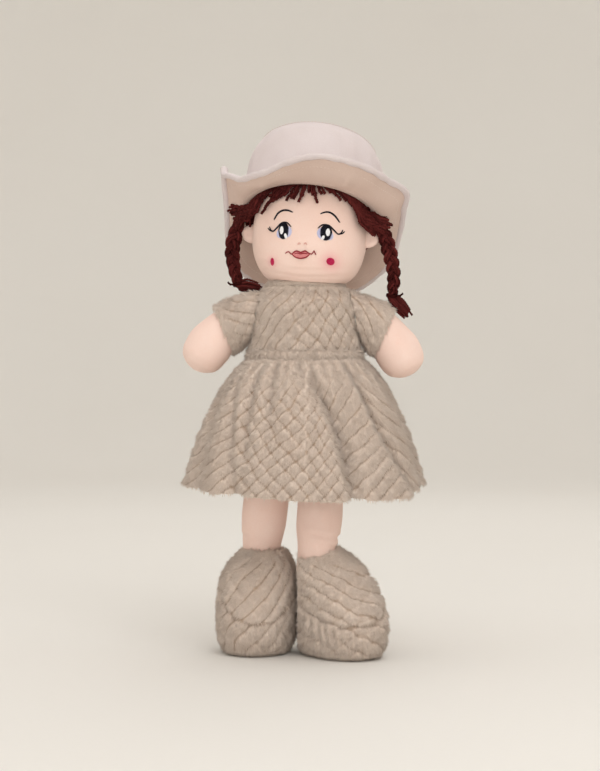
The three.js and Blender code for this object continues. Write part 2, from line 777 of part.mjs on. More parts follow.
function makeHead() {
  const group = new THREE.Group();
  const skin = cut(headSolid(0), headSolid(-BODY_CLOTH), seamOpening(0));
  group.add(piece("head_skin", skin, COLOURS.cloth));
  group.add(piece("head_filling", headSolid(-BODY_CLOTH - GAP), COLOURS.stuffing));

  const hairShell = cut(headSolid(GAP + HAIR_THICKNESS), headSolid(GAP));
  const hairRoom = headSolid(2 * GAP + HAIR_THICKNESS);
  const level = HAIRLINE_LEVEL;
  const window = pushedThrough(
    archOutline(HAIRLINE_WIDTH / 2, HAIRLINE_RISE, 0, -HEAD_HEIGHT),
    -HEAD_DEPTH,
    EAR_CLEAR_Y,
  );
  const cheeks = box(
    vector(0, EAR_CLEAR_Y - HEAD_DEPTH, level - HEAD_HEIGHT),
    2 * HEAD_WIDTH,
    2 * HEAD_DEPTH,
    2 * HEAD_HEIGHT,
  );
  const rise = level - NAPE_LEVEL;
  const run = HEAD_DEPTH / 2 - EAR_CLEAR_Y;
  const slant = new THREE.Matrix4().makeRotationX(-Math.atan2(rise, run));
  const under = vector(0, 0, -HEAD_HEIGHT).applyMatrix4(slant);
  const nape = box(
    vector(0, EAR_CLEAR_Y, level).add(under),
    2 * HEAD_WIDTH,
    4 * HEAD_DEPTH,
    2 * HEAD_HEIGHT,
    slant,
  );
  group.add(piece("hair_cap", cut(hairShell, window, cheeks, nape), COLOURS.yarn));

  const fringeShell = cut(headSolid(GAP + FRINGE_THICKNESS), headSolid(GAP));
  const upperEdge = pushedThrough(
    archOutline(HAIRLINE_WIDTH / 2 - GAP, HAIRLINE_RISE - GAP, 0, level),
    -HEAD_DEPTH,
    0,
  );
  const lowerEdge = pushedThrough(
    archOutline(HAIRLINE_WIDTH / 2 - 0.6 * FRINGE_LENGTH, HAIRLINE_RISE - FRINGE_LENGTH, FRINGE_RAGGED, -HEAD_HEIGHT),
    -2 * HEAD_DEPTH,
    HEAD_DEPTH,
  );
  group.add(piece("hair_fringe", cut(fringeShell.intersect(upperEdge), lowerEdge), COLOURS.yarn));

  for (const { name, side, eyeX, browX } of SIDES) {
    const ear = new THREE.SphereGeometry(1, 14, 8);
    ear.scale(EAR_REACH, EAR_THICKNESS / 2, EAR_HEIGHT / 2);
    ear.translate(side * (HEAD_WIDTH / 2), 0, EAR_LEVEL);
    group.add(piece("ear_" + name, cut(solid(ear), headSolid(GAP)), COLOURS.cloth));

    const eye = ellipseOutline(eyeX, EYE_LEVEL, EYE_WIDTH / 2, EYE_HEIGHT / 2);
    group.add(stitched("eye_" + name, eye, COLOURS.eye));
    const brow = [];
    for (const [offset, order] of [
      [BROW_WIDTH / 2, [0, 1, 2, 3, 4, 5, 6]],
      [-BROW_WIDTH / 2, [6, 5, 4, 3, 2, 1, 0]],
    ]) {
      for (const i of order) {
        const share = i / 6;
        const x = browX + side * BROW_LENGTH * (share - 0.5);
        brow.push([x, BROW_LEVEL + BROW_RISE * Math.sin(Math.PI * (0.25 + 0.8 * share)) + offset]);
      }
    }
    group.add(stitched("brow_" + name, outlineOf(brow), COLOURS.brow));
    group.add(makeLock(name, side, hairRoom));
  }

  group.add(stitched("nose_stitch", ellipseOutline(0, NOSE_LEVEL, NOSE_WIDTH / 2, 1.3), COLOURS.nose));
  const lipTop = LIPS_HEIGHT * 0.45;
  const lips = outlineOf([
    [-MOUTH_WIDTH / 2, MOUTH_LEVEL + 1.6],
    [-LIPS_WIDTH / 2, MOUTH_LEVEL - 0.6],
    [-LIPS_WIDTH / 4, MOUTH_LEVEL - LIPS_HEIGHT * 0.45],
    [0, MOUTH_LEVEL - LIPS_HEIGHT * 0.55],
    [LIPS_WIDTH / 4, MOUTH_LEVEL - LIPS_HEIGHT * 0.45],
    [LIPS_WIDTH / 2, MOUTH_LEVEL - 0.6],
    [MOUTH_WIDTH / 2, MOUTH_LEVEL + 1.6],
    [MOUTH_WIDTH / 2, MOUTH_LEVEL + 2.6],
    [LIPS_WIDTH / 2, MOUTH_LEVEL + 0.6],
    [LIPS_WIDTH / 4, MOUTH_LEVEL + lipTop],
    [0, MOUTH_LEVEL + lipTop - 1],
    [-LIPS_WIDTH / 4, MOUTH_LEVEL + lipTop],
    [-LIPS_WIDTH / 2, MOUTH_LEVEL + 0.6],
    [-MOUTH_WIDTH / 2, MOUTH_LEVEL + 2.6],
  ]);
  group.add(stitched("lips", lips, COLOURS.lips));
  return group;
}

function braidRoot(side) {
  return vector(side * BRAID_ROOT_X, 0, BRAID_ROOT_LEVEL);
}

// The lock drawn down over the temple, which ends as a cup over the braid's round root.
function makeLock(name, side, hairRoom) {
  const root = braidRoot(side);
  const route = new THREE.CatmullRomCurve3([
    vector(side * 0.42 * HEAD_WIDTH, -0.42 * HEAD_DEPTH, BRAID_ROOT_LEVEL + 13),
    vector(side * 0.52 * HEAD_WIDTH, -0.24 * HEAD_DEPTH, BRAID_ROOT_LEVEL + 9),
    root.clone().add(vector(-side * 2, -5, 6.5)),
    root.clone().add(vector(0, 0, 4)),
  ]);
  const stations = [
    [0, LOCK_RADIUS * 0.7, LOCK_RADIUS * 0.5],
    [0.3, LOCK_RADIUS * 1.1, LOCK_RADIUS * 0.8],
    [0.65, LOCK_RADIUS * 1.1, LOCK_RADIUS],
    [1, BRAID_RADIUS + 0.8, BRAID_RADIUS + 0.8],
  ];
  const hatRoom = brimLayer(BRIM_UNDERSIDE - GAP, HAIR_THICKNESS);
  const lock = cut(solid(limb(route, stations, Z, 10)), hairRoom, hatRoom, ball(root, BRAID_RADIUS + GAP));
  return piece("hair_lock_" + name, lock, COLOURS.yarn);
}

// Hat
// The hat's own frame: its foot ring is level, and the whole is tilted back on the head.
function hatFrame() {
  const tilt = new THREE.Matrix4().makeRotationX(-radians(HAT_TILT));
  return new THREE.Matrix4().makeTranslation(0, 0, HAT_LEVEL).multiply(tilt);
}

// Stations up the crown: share of the height, radius
function crownProfile(inset) {
  const belly = (CROWN_RADIUS + CROWN_TOP_RADIUS) / 2 + CROWN_BULGE;
  return [
    [0, CROWN_RADIUS - inset],
    [0.5, belly - inset],
    [0.82, CROWN_TOP_RADIUS + 1.4 * CROWN_BULGE - inset],
    [1, CROWN_TOP_RADIUS - inset],
  ];
}

function atAngle(angle, radius, height) {
  const turn = radians(angle);
  return vector(radius * Math.sin(turn), -radius * Math.cos(turn), height);
}

// Places round the hat
const HAT_ANGLES = Array.from({ length: 36 }, (_, k) => 10 * k);

// A point on the brim, by its share of the way from the crown to the hem.
function brimPoint(angle, share, lift) {
  const reach = roundValue(BRIM_EDGE, angle, 1) - 2 * HEM_RADIUS - GAP;
  const rise = roundValue(BRIM_EDGE, angle, 2);
  const height = rise * share ** 1.4 - BRIM_SAG * Math.sin(Math.PI * share);
  return atAngle(angle, CROWN_RADIUS + reach * share, height + lift);
}

// A layer of the brim, between two heights over its middle surface.
function brimLayer(low, high) {
  const surface = (angle, lift) => [
    atAngle(angle, CROWN_RADIUS - 2 * HAT_CLOTH, lift),
    ...[0, 0.35, 0.7, 1].map((share) => brimPoint(angle, share, lift)),
  ];
  const sections = HAT_ANGLES.map((angle) => [...surface(angle, high), ...surface(angle, low).reverse()]);
  return solid(hoop(sections).applyMatrix4(hatFrame()));
}

const BRIM_UNDERSIDE = -2 * GAP - 2 * HAT_CLOTH;

function makeHat() {
  const group = new THREE.Group();
  const frame = hatFrame();
  const hairRoom = headSolid(2 * GAP + HAIR_THICKNESS);
  const wall = 2 * HAT_CLOTH;

  const side = hoop(
    HAT_ANGLES.map((angle) => {
      const outer = crownProfile(0).map(([share, r]) => atAngle(angle, r, share * (CROWN_HEIGHT - CROWN_DOME)));
      const inner = crownProfile(wall).map(([share, r]) => atAngle(angle, r, share * (CROWN_HEIGHT - CROWN_DOME)));
      return [...outer, ...inner.reverse()];
    }),
  );
  group.add(piece("hat_side_band", cut(solid(side.applyMatrix4(frame)), hairRoom), COLOURS.hat));

  const roof = CROWN_HEIGHT - CROWN_DOME + GAP;
  const disc = (radius, height) => HAT_ANGLES.map((angle) => atAngle(angle, radius, height));
  const top = loft([
    disc(0.5 * CROWN_TOP_RADIUS, roof + 0.7 * CROWN_DOME - HAT_CLOTH),
    disc(CROWN_TOP_RADIUS - wall, roof),
    disc(CROWN_TOP_RADIUS, roof),
    disc(CROWN_TOP_RADIUS - 0.5, roof + HAT_CLOTH),
    disc(0.5 * CROWN_TOP_RADIUS, roof + 0.7 * CROWN_DOME + HAT_CLOTH),
  ]);
  group.add(piece("hat_top_panel", top.applyMatrix4(frame), COLOURS.hat));

  const liftRoom = headSolid(3 * GAP + HAIR_THICKNESS);
  const upperLayer = cut(brimLayer(-GAP - HAT_CLOTH, -GAP), liftRoom);
  group.add(piece("brim_upper", upperLayer, COLOURS.hat));
  const underLayer = cut(brimLayer(BRIM_UNDERSIDE, BRIM_UNDERSIDE + HAT_CLOTH), liftRoom);
  group.add(piece("brim_under", underLayer, COLOURS.hat));

  const hem = hoop(
    HAT_ANGLES.map((angle) => {
      const edge = brimPoint(angle, 1, -1.5 * GAP - HAT_CLOTH);
      const out = atAngle(angle, 1, 0);
      const center = edge.addScaledVector(out, HEM_RADIUS + GAP);
      return oval(center, out, Z, HEM_RADIUS, HEM_RADIUS, 6);
    }),
  );
  group.add(piece("brim_hem", hem.applyMatrix4(frame), COLOURS.hat));
  return group;
}

// Braids hang straight down, so they are made in the standing frame from the head's own roots.
function makeBraid({ name, side, braid, tuft }, headMatrix) {
  const group = new THREE.Group();
  const root = braidRoot(side).applyMatrix4(headMatrix);
  const place = ([x, y, drop]) => vector(x, y, root.z + drop);
  const end = place(braid.at(-1));
  const route = new THREE.CatmullRomCurve3([root, ...braid.map(place)]);
  const rings = [20, 50, 75].map((tilt) => {
    const r = BRAID_RADIUS * Math.sin(radians(tilt));
    return oval(root.clone().addScaledVector(Z, BRAID_RADIUS * Math.cos(radians(tilt))), X, Y, r, r, 10);
  });
  for (let i = 1; i <= 2 * BRAID_LOBES; i += 1) {
    const share = i / (2 * BRAID_LOBES);
    const r = BRAID_RADIUS * (1 - 0.3 * share ** 3) - (i % 2 ? 0 : BRAID_LOBE_DEPTH);
    const ahead = route.getTangentAt(share);
    const across = X.clone().addScaledVector(ahead, -X.dot(ahead)).normalize();
    const along = vector(0, 0, 0).crossVectors(ahead, across).negate();
    rings.push(oval(route.getPointAt(share), across, along, r, 0.85 * r, 10));
  }
  const plait = loft(rings);
  const heading = route.getTangentAt(1);
  const tieLength = 2 * TIE_THICKNESS;
  const tieStart = end.clone().addScaledVector(heading, GAP);
  const tieEnd = tieStart.clone().addScaledVector(heading, tieLength);
  const tieRoute = new THREE.LineCurve3(tieStart, tieEnd);
  const bulge = TIE_RADIUS + 0.4 * TIE_THICKNESS;
  const tie = limb(tieRoute, [[0, TIE_RADIUS, TIE_RADIUS], [0.5, bulge, bulge], [1, TIE_RADIUS, TIE_RADIUS]], X, 12);
  const tuftStart = tieEnd.clone().addScaledVector(heading, GAP);
  const tuftBend = tuftStart.clone().addScaledVector(heading, TIE_RADIUS);
  const tuftRoute = new THREE.CatmullRomCurve3([tuftStart, tuftBend, ...tuft.map(place)]);
  const tuftStations = [
    [0, TIE_RADIUS * 0.9, TIE_RADIUS * 0.8],
    [0.3, TIE_RADIUS * 1.25, TIE_RADIUS],
    [0.7, TIE_RADIUS * 0.8, TIE_RADIUS * 0.6],
    [1, TIE_RADIUS * 0.25, TIE_RADIUS * 0.25],
  ];
  const facing = new THREE.Quaternion().setFromUnitVectors(Z, heading);
  const behind = tuftStart.clone().addScaledVector(heading, -2 * TIE_RADIUS);
  const room = 4 * TIE_RADIUS;
  const tieRoom = box(behind, room, room, room, new THREE.Matrix4().makeRotationFromQuaternion(facing));
  const tail = cut(solid(limb(tuftRoute, tuftStations, Y, 10)), tieRoom);
  group.add(piece("braid_" + name, plait, COLOURS.yarn));
  group.add(piece("braid_tie_" + name, tie, COLOURS.tie));
  group.add(piece("braid_tuft_" + name, tail, COLOURS.yarn));
  return group;
}

// The doll
const headPlace = new THREE.Matrix4()
  .makeTranslation(HEAD_SHIFT, 0, NECK_Z + GAP)
  .multiply(new THREE.Matrix4().makeRotationY(radians(HEAD_ROLL)))
  .multiply(new THREE.Matrix4().makeRotationZ(radians(HEAD_TURN)));

const head = new THREE.Group();
head.add(makeHead(), makeHat());
head.applyMatrix4(headPlace);

const standing = new THREE.Group();
standing.add(makeTrunk(), makeSeat(), head);
for (const side of SIDES) {
  standing.add(makeArm(side), makeLeg(side), makeBraid(side, headPlace));
}

// The origin is on the floor under the middle of the doll.
const extent = new THREE.Box3().setFromObject(standing, true);
const middle = extent.getCenter(vector(0, 0, 0));
standing.position.set(-middle.x, -middle.y, -extent.min.z);

const doll = new THREE.Group();
doll.name = "plush_doll";
doll.add(standing);

export default doll;
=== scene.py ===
"""Looks of a stuffed rag doll in a quilted plush dress, plush boots and a soft brimmed hat.

Shapes are worked out in millimetres in the doll's own standing frame, where it looks along -Y, and are handed
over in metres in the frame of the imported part.
"""

import json
import logging
import math
from collections.abc import Callable, Sequence
from dataclasses import dataclass, field
from enum import Enum

import bpy
import numpy as np
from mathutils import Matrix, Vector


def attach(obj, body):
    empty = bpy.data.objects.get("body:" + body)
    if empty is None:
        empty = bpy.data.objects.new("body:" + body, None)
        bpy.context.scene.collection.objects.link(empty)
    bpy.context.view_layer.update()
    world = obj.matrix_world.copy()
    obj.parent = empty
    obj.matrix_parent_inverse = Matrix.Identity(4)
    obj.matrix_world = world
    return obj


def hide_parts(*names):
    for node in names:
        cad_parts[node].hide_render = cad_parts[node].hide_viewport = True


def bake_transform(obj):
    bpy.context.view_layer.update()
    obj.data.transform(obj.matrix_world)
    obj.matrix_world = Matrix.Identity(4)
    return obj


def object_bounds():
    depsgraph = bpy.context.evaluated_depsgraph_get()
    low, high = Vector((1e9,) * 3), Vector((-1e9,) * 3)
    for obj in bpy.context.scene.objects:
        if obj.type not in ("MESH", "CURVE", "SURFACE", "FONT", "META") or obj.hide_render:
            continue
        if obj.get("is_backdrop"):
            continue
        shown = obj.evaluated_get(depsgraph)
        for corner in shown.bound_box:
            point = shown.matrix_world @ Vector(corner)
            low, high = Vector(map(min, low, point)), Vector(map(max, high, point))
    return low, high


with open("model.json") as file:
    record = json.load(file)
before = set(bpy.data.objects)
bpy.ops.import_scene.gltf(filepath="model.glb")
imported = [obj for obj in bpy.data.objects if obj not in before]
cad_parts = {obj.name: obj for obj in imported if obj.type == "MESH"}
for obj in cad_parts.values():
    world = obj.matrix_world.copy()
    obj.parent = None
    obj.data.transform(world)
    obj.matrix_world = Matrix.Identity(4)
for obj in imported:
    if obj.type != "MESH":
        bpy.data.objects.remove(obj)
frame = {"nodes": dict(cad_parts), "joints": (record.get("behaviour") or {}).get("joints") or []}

Array = np.ndarray
Point = tuple[float, float, float]

LOG = logging.getLogger("doll")
MM = 0.001
UP = np.array([0.0, 0.0, 1.0])
RIGHT = np.array([1.0, 0.0, 0.0])
BACK = np.array([0.0, 1.0, 0.0])
GAP = 0.3
PLUSH = 3.2

# Places that several parts of the doll share
SEAT_SHIFT = -6.0
SEAT_AXIS_Z = 199.0
NECK_Z = 312.5
WAIST_Z = 254.5
SHOULDER_Z = 286.7
LEG_JOINT_Z = 172.0


def place_of_frame() -> Array:
    """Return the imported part's shift from the doll's standing frame in metres, by the place of seat_fold."""
    seat = next(joint for joint in frame["joints"] if joint["name"] == "seat_fold")
    return np.array(seat["pos_m"]) - np.array([SEAT_SHIFT, 0.0, SEAT_AXIS_Z]) * MM


PLACE = place_of_frame()


# Numbers and curves


def unit(vectors: Array) -> Array:
    """Return vectors along their last axis with length one."""
    return vectors / np.maximum(np.linalg.norm(vectors, axis=-1, keepdims=True), 1e-9)


def turned(axis: Array, degrees: float) -> Array:
    """Return the matrix of a turn.

    Args:
        axis: Direction of the axis.
        degrees: Angle of the turn.

    Returns:
        A 3 by 3 rotation matrix.
    """
    x, y, z = unit(np.asarray(axis, float))
    cross = np.array([[0, -z, y], [z, 0, -x], [-y, x, 0]])
    angle = math.radians(degrees)
    return np.eye(3) + math.sin(angle) * cross + (1 - math.cos(angle)) * cross @ cross


def eased(stations: Sequence[Sequence[float]], at: Array) -> Array:
    """Follow a table of stations with a smooth curve that never overshoots.

    Args:
        stations: Rows of a place followed by its values.
        at: Places to find.

    Returns:
        The values at those places, with one more axis when a row has several values.
    """
    table = np.asarray(stations, float)
    places, values = table[:, 0], table[:, 1:]
    steps = np.diff(places)[:, None]
    rises = np.diff(values, axis=0) / steps
    slopes = np.zeros_like(values)
    slopes[0], slopes[-1] = rises[0], rises[-1]
    before, after = rises[:-1], rises[1:]
    same_way = before * after > 0
    mean = 2 * before * after / np.where(same_way, before + after, 1)
    slopes[1:-1] = np.where(same_way, mean, 0)
    at = np.asarray(at, float)
    row = np.clip(np.searchsorted(places, at, "right") - 1, 0, len(places) - 2)
    step = steps[row, 0][..., None]
    share = np.clip((at - places[row])[..., None] / step, 0, 1)
    square, cube = share**2, share**3
    result = (
        (2 * cube - 3 * square + 1) * values[row]
        + (cube - 2 * square + share) * step * slopes[row]
        + (3 * square - 2 * cube) * values[row + 1]
        + (cube - square) * step * slopes[row + 1]
    )
    return result[..., 0] if values.shape[1] == 1 else result


def round_curve(controls: Sequence[Sequence[float]], degrees: Array) -> Array:
    """Follow a table of control rows that closes on itself.

    Args:
        controls: Rows of an angle in degrees followed by its values.
        degrees: Angles to find.

    Returns:
        The values at those angles on the last axis.
    """
    table = np.asarray(controls, float)
    count = len(table)
    places = np.append(table[:, 0], table[0, 0] + 360)
    wanted = (np.asarray(degrees, float) - places[0]) % 360 + places[0]
    row = np.clip(np.searchsorted(places, wanted, "right") - 1, 0, count - 1)
    share = ((wanted - places[row]) / (places[row + 1] - places[row]))[..., None]
    before, here, after, beyond = (table[(row + k) % count, 1:] for k in (-1, 0, 1, 2))
    square, cube = share**2, share**3
    return (
        (2 * cube - 3 * square + 1) * here
        + (cube - 2 * square + share) * (after - before) / 2
        + (3 * square - 2 * cube) * after
        + (cube - square) * (beyond - here) / 2
    )


def smooth_path(points: Sequence[Sequence[float]] | Array, count: int) -> Array:
    """Draw a smooth path through points.

    Args:
        points: Points that the path goes through.
        count: Number of points of the path, which are spaced evenly along it.

    Returns:
        The path's points.
    """
    knots = np.asarray(points, float)
    ghost = np.vstack([2 * knots[0] - knots[1], knots, 2 * knots[-1] - knots[-2]])
    share = np.linspace(0, 1, 12, endpoint=False)[:, None]
    runs = []
    for a, b, c, d in zip(ghost, ghost[1:], ghost[2:], ghost[3:]):
        runs.append(
            0.5 * (2 * b + (c - a) * share + (2 * a - 5 * b + 4 * c - d) * share**2)
            + 0.5 * (3 * b - a - 3 * c + d) * share**3
        )
    return respaced(np.vstack([*runs, knots[-1:]]), count)


def respaced(path: Array, count: int) -> Array:
    """Return count points spaced evenly along a path."""
    run = np.append(0, np.cumsum(np.linalg.norm(np.diff(path, axis=0), axis=1)))
    wanted = np.linspace(0, run[-1], count)
    return np.stack([np.interp(wanted, run, path[:, k]) for k in range(path.shape[1])], axis=1)


def headings(path: Array) -> Array:
    """Return the unit direction of a path at each of its points."""
    return unit(np.gradient(path, axis=0))


def paced(rings: Array) -> Array:
    """Return the share of the way round, by distance, of each point of a grid's closed rows."""
    steps = np.linalg.norm(np.roll(rings, -1, 1) - rings, axis=-1)
    run = np.cumsum(steps, axis=1)
    return np.concatenate([np.zeros((len(run), 1)), run[:, :-1]], axis=1) / run[:, -1:]


def waves(points: Array, size: float, seed: int, count: int = 5) -> Array:
    """Give smooth random values over space.

    Args:
        points: Places, in millimetres.
        size: Usual distance between a high place and the next.
        seed: Seed of the pattern.
        count: Number of plane waves that are summed.

    Returns:
        Values about zero, mostly between -1 and 1.
    """
    rng = np.random.default_rng(seed)
    total = np.zeros(points.shape[:-1])
    for _ in range(count):
        direction = unit(rng.normal(size=3)) * rng.uniform(0.7, 1.4)
        total += np.sin(points @ direction * (2 * math.pi / size) + rng.uniform(0, 2 * math.pi))
    return total / math.sqrt(count)


def bell(distance: Array, width: float) -> Array:
    """Return one at distance zero, falling away over a width."""
    return np.exp(-((distance / width) ** 2))


def stepped(value: Array, low: float, high: float) -> Array:
    """Return zero under low, one over high and a smooth rise between them."""
    share = np.clip((value - low) / (high - low), 0, 1)
    return share * share * (3 - 2 * share)


# Meshes under construction


@dataclass
class Shape:
    """Points in millimetres, the faces on them, and values that each point carries."""

    points: Array
    faces: list[Array]
    layers: dict[str, Array] = field(default_factory=dict)

    @classmethod
    def skin(cls, grid: Array, ring: bool = True, loop: bool = False, ends: bool = False) -> "Shape":
        """Lay faces over a grid of points.

        Args:
            grid: Rows of points, three numbers each.
            ring: Whether each row closes on itself.
            loop: Whether the last row joins the first.
            ends: Whether the first and last rows are closed by a fan.

        Returns:
            The shape, with its faces looking outwards where it is closed.
        """
        rows, columns = grid.shape[:2]
        row = np.arange(rows if loop else rows - 1)[:, None]
        column = np.arange(columns if ring else columns - 1)[None, :]
        here, below = row * columns, (row + 1) % rows * columns
        beside = (column + 1) % columns
        corners = here + column, here + beside, below + beside, below + column
        quads = np.stack(np.broadcast_arrays(*corners), -1)
        points = grid.reshape(-1, 3)
        faces = [quads.reshape(-1, 4)]
        if ends:
            around = np.arange(columns)
            after = (around + 1) % columns
            last = (rows - 1) * columns
            tips = np.full(columns, len(points))
            faces.append(np.stack([tips, after, around], 1))
            faces.append(np.stack([tips + 1, last + around, last + after], 1))
            points = np.vstack([points, grid[0].mean(0), grid[-1].mean(0)])
        return cls(points, faces).outward()

    def triangles(self) -> Array:
        """Return every face as triangles."""
        parts = []
        for faces in self.faces:
            parts.append(faces[:, :3])
            if faces.shape[1] == 4:
                parts.append(faces[:, [0, 2, 3]])
        return np.vstack(parts)

    def outward(self) -> "Shape":
        """Turn the faces round if the volume inside them is negative."""
        a, b, c = (self.points[self.triangles()[:, k]] for k in range(3))
        if np.einsum("ij,ij->", a, np.cross(b, c)) < 0:
            self.faces = [faces[:, ::-1] for faces in self.faces]
        return self

    def normals(self) -> Array:
        """Return the unit normal at each point."""
        triangles = self.triangles()
        a, b, c = (self.points[triangles[:, k]] for k in range(3))
        flat = np.cross(b - a, c - a)
        total = np.zeros_like(self.points)
        for k in range(3):
            np.add.at(total, triangles[:, k], flat)
        return unit(total)

    def raised(self, height: Array) -> "Shape":
        """Move each point out along its normal by a height."""
        self.points = self.points + self.normals() * np.asarray(height)[:, None]
        return self

    def part(self, chosen: Array) -> "Shape":
        """Return the faces whose middles are chosen.

        Args:
            chosen: A value for each point; a face is taken if their mean over it is more than one half.

        Returns:
            The part, with its own points.
        """
        kept = [faces[chosen[faces].mean(1) > 0.5] for faces in self.faces]
        used = np.unique(np.concatenate([faces.ravel() for faces in kept]))
        number = np.zeros(len(self.points), int)
        number[used] = np.arange(len(used))
        layers = {name: values[used] for name, values in self.layers.items()}
        return Shape(self.points[used], [number[faces] for faces in kept if len(faces)], layers)

    def mesh(self, name: str) -> bpy.types.Mesh:
        """Make the Blender mesh, in metres in the part's frame.

        Args:
            name: Name of the mesh.

        Returns:
            The mesh, shaded smooth.
        """
        mesh = bpy.data.meshes.new(name)
        mesh.vertices.add(len(self.points))
        mesh.vertices.foreach_set("co", (self.points * MM + PLACE).astype(np.float32).ravel())
        corners = np.concatenate([faces.ravel() for faces in self.faces])
        sizes = np.concatenate([np.full(len(faces), faces.shape[1]) for faces in self.faces])
        mesh.loops.add(len(corners))
        mesh.loops.foreach_set("vertex_index", corners.astype(np.int32))
        mesh.polygons.add(len(sizes))
        mesh.polygons.foreach_set("loop_start", np.append(0, np.cumsum(sizes)[:-1]).astype(np.int32))
        mesh.update(calc_edges=True)
        mesh.polygons.foreach_set("use_smooth", np.ones(len(sizes), bool))
        write_layers(mesh, self.layers)
        mesh.validate()
        return mesh


def write_layers(mesh: bpy.types.Mesh, layers: dict[str, Array]) -> None:
    """Store values as point attributes of a mesh.

    Args:
        mesh: Mesh that gets them.
        layers: One number or one vector for each point, by name.
    """
    for name, values in layers.items():
        kind, key = ("FLOAT", "value") if values.ndim == 1 else ("FLOAT_VECTOR", "vector")
        mesh.attributes.new(name, kind, "POINT").data.foreach_set(key, values.astype(np.float32).ravel())


def lathe(place: Callable[[Array, Array], Array], rows: Array, columns: int) -> Array:
    """Sample a surface that goes round an axis.

    Args:
        place: Gives the points at a share of the way up and an angle in radians.
        rows: Shares to sample.
        columns: Number of angles.

    Returns:
        A grid of points.
    """
    angles = np.linspace(0, 2 * math.pi, columns, endpoint=False)
    return place(*np.meshgrid(rows, angles, indexing="ij"))


def rounded(angle: Array, power: float | Array) -> tuple[Array, Array]:
    """Return the two coordinates of a unit oval, where power 2 is a circle and more is squarer."""
    across, along = np.cos(angle), np.sin(angle)
    share = 2 / power
    return np.sign(across) * np.abs(across) ** share, np.sign(along) * np.abs(along) ** share


# Finishes


def linear(colour: int) -> tuple[float, float, float, float]:
    """Return a colour given as 0xRRGGBB in scene-linear numbers."""
    values = [(colour >> shift & 255) / 255 for shift in (16, 8, 0)]
    return (*((v / 12.92 if v <= 0.04045 else ((v + 0.055) / 1.055) ** 2.4) for v in values), 1.0)


class Graph:
    """Adds nodes to one tree and joins them."""

    def __init__(self, tree: bpy.types.NodeTree) -> None:
        """Keep the tree."""
        self.tree = tree

    def add(self, kind: str, inputs: dict | None = None, **settings: object) -> bpy.types.Node:
        """Add a node.

        Args:
            kind: Type of the node.
            inputs: Values or sockets for its inputs, by name or number.
            **settings: Properties of the node.

        Returns:
            The node.
        """
        node = self.tree.nodes.new(kind)
        for name, value in settings.items():
            setattr(node, name, value)
        for name, value in (inputs or {}).items():
            if isinstance(value, bpy.types.NodeSocket):
                self.tree.links.new(value, node.inputs[name])
            else:
                node.inputs[name].default_value = value
        return node

    def math(self, operation: str, first: object, second: object = 0.0) -> bpy.types.NodeSocket:
        """Add a math node and return its result."""
        name = "ShaderNodeMath"
        return self.add(name, {0: first, 1: second}, operation=operation).outputs[0]

    def mixed(self, share: object, first: object, second: object) -> bpy.types.NodeSocket:
        """Mix two colours by a share and return the result."""
        node = self.add("ShaderNodeMix", {"Factor": share}, data_type="RGBA")
        for socket, value in ((node.inputs[6], first), (node.inputs[7], second)):
            if isinstance(value, bpy.types.NodeSocket):
                self.tree.links.new(value, socket)
            else:
                socket.default_value = value
        return node.outputs[2]

    def attribute(self, name: str) -> bpy.types.NodeSocket:
        """Return a point attribute's value."""
        return self.add("ShaderNodeAttribute", attribute_name=name).outputs["Fac"]


@dataclass(frozen=True)
class Finish:
    """A finish: its two tones, roughness and sheen, and the size of its grain in millimetres."""

    name: str
    tone: int
    shade: int
    roughness: float = 0.85
    sheen: float = 0.3
    grain: float = 0.8
    relief: float = 0.15
    mottle: float = 24.0
    shine: float = 0.4

    def material(self) -> bpy.types.Material:
        """Return the finish's material, made at its first use."""
        found = bpy.data.materials.get(self.name)
        if found:
            return found
        material = bpy.data.materials.new(self.name)
        material.use_nodes = True
        graph = Graph(material.node_tree)
        shader = graph.tree.nodes["Principled BSDF"]
        shader.inputs["Roughness"].default_value = self.roughness
        shader.inputs["Specular IOR Level"].default_value = self.shine
        shader.inputs["Specular Tint"].default_value = linear(self.tone)
        shader.inputs["Sheen Weight"].default_value = self.sheen
        shader.inputs["Sheen Roughness"].default_value = 0.5
        shader.inputs["Sheen Tint"].default_value = linear(self.tone)
        place = graph.add("ShaderNodeTexCoord").outputs["Object"]
        graph.tree.links.new(self.colour(graph, place), shader.inputs["Base Color"])
        bump = graph.add(
            "ShaderNodeBump",
            {"Strength": 0.8, "Distance": self.relief * MM, "Height": self.height(graph, place)},
        )
        graph.tree.links.new(bump.outputs[0], shader.inputs["Normal"])
        return material

    def noise(
        self, graph: Graph, place: bpy.types.NodeSocket, size: float, detail: float = 2
    ) -> bpy.types.NodeSocket:
        """Add noise with features of a size in millimetres and return its value."""
        given = {"Vector": place, "Scale": 1 / (size * MM), "Detail": detail}
        return graph.add("ShaderNodeTexNoise", given).outputs[0]

    def colour(self, graph: Graph, place: bpy.types.NodeSocket) -> bpy.types.NodeSocket:
        """Return the colour socket: the tone, going to the shade where broad and fine noise are low."""
        broad = self.noise(graph, place, self.mottle)
        fine = self.noise(graph, place, 2 * self.grain)
        both = graph.math("MULTIPLY_ADD", fine, 0.6)
        graph.tree.links.new(graph.math("MULTIPLY", broad, 0.9), both.node.inputs[2])
        return graph.mixed(graph.math("SUBTRACT", both, 0.25), linear(self.shade), linear(self.tone))

    def height(self, graph: Graph, place: bpy.types.NodeSocket) -> bpy.types.NodeSocket:
        """Return the height of the grain."""
        return self.noise(graph, place, self.grain)


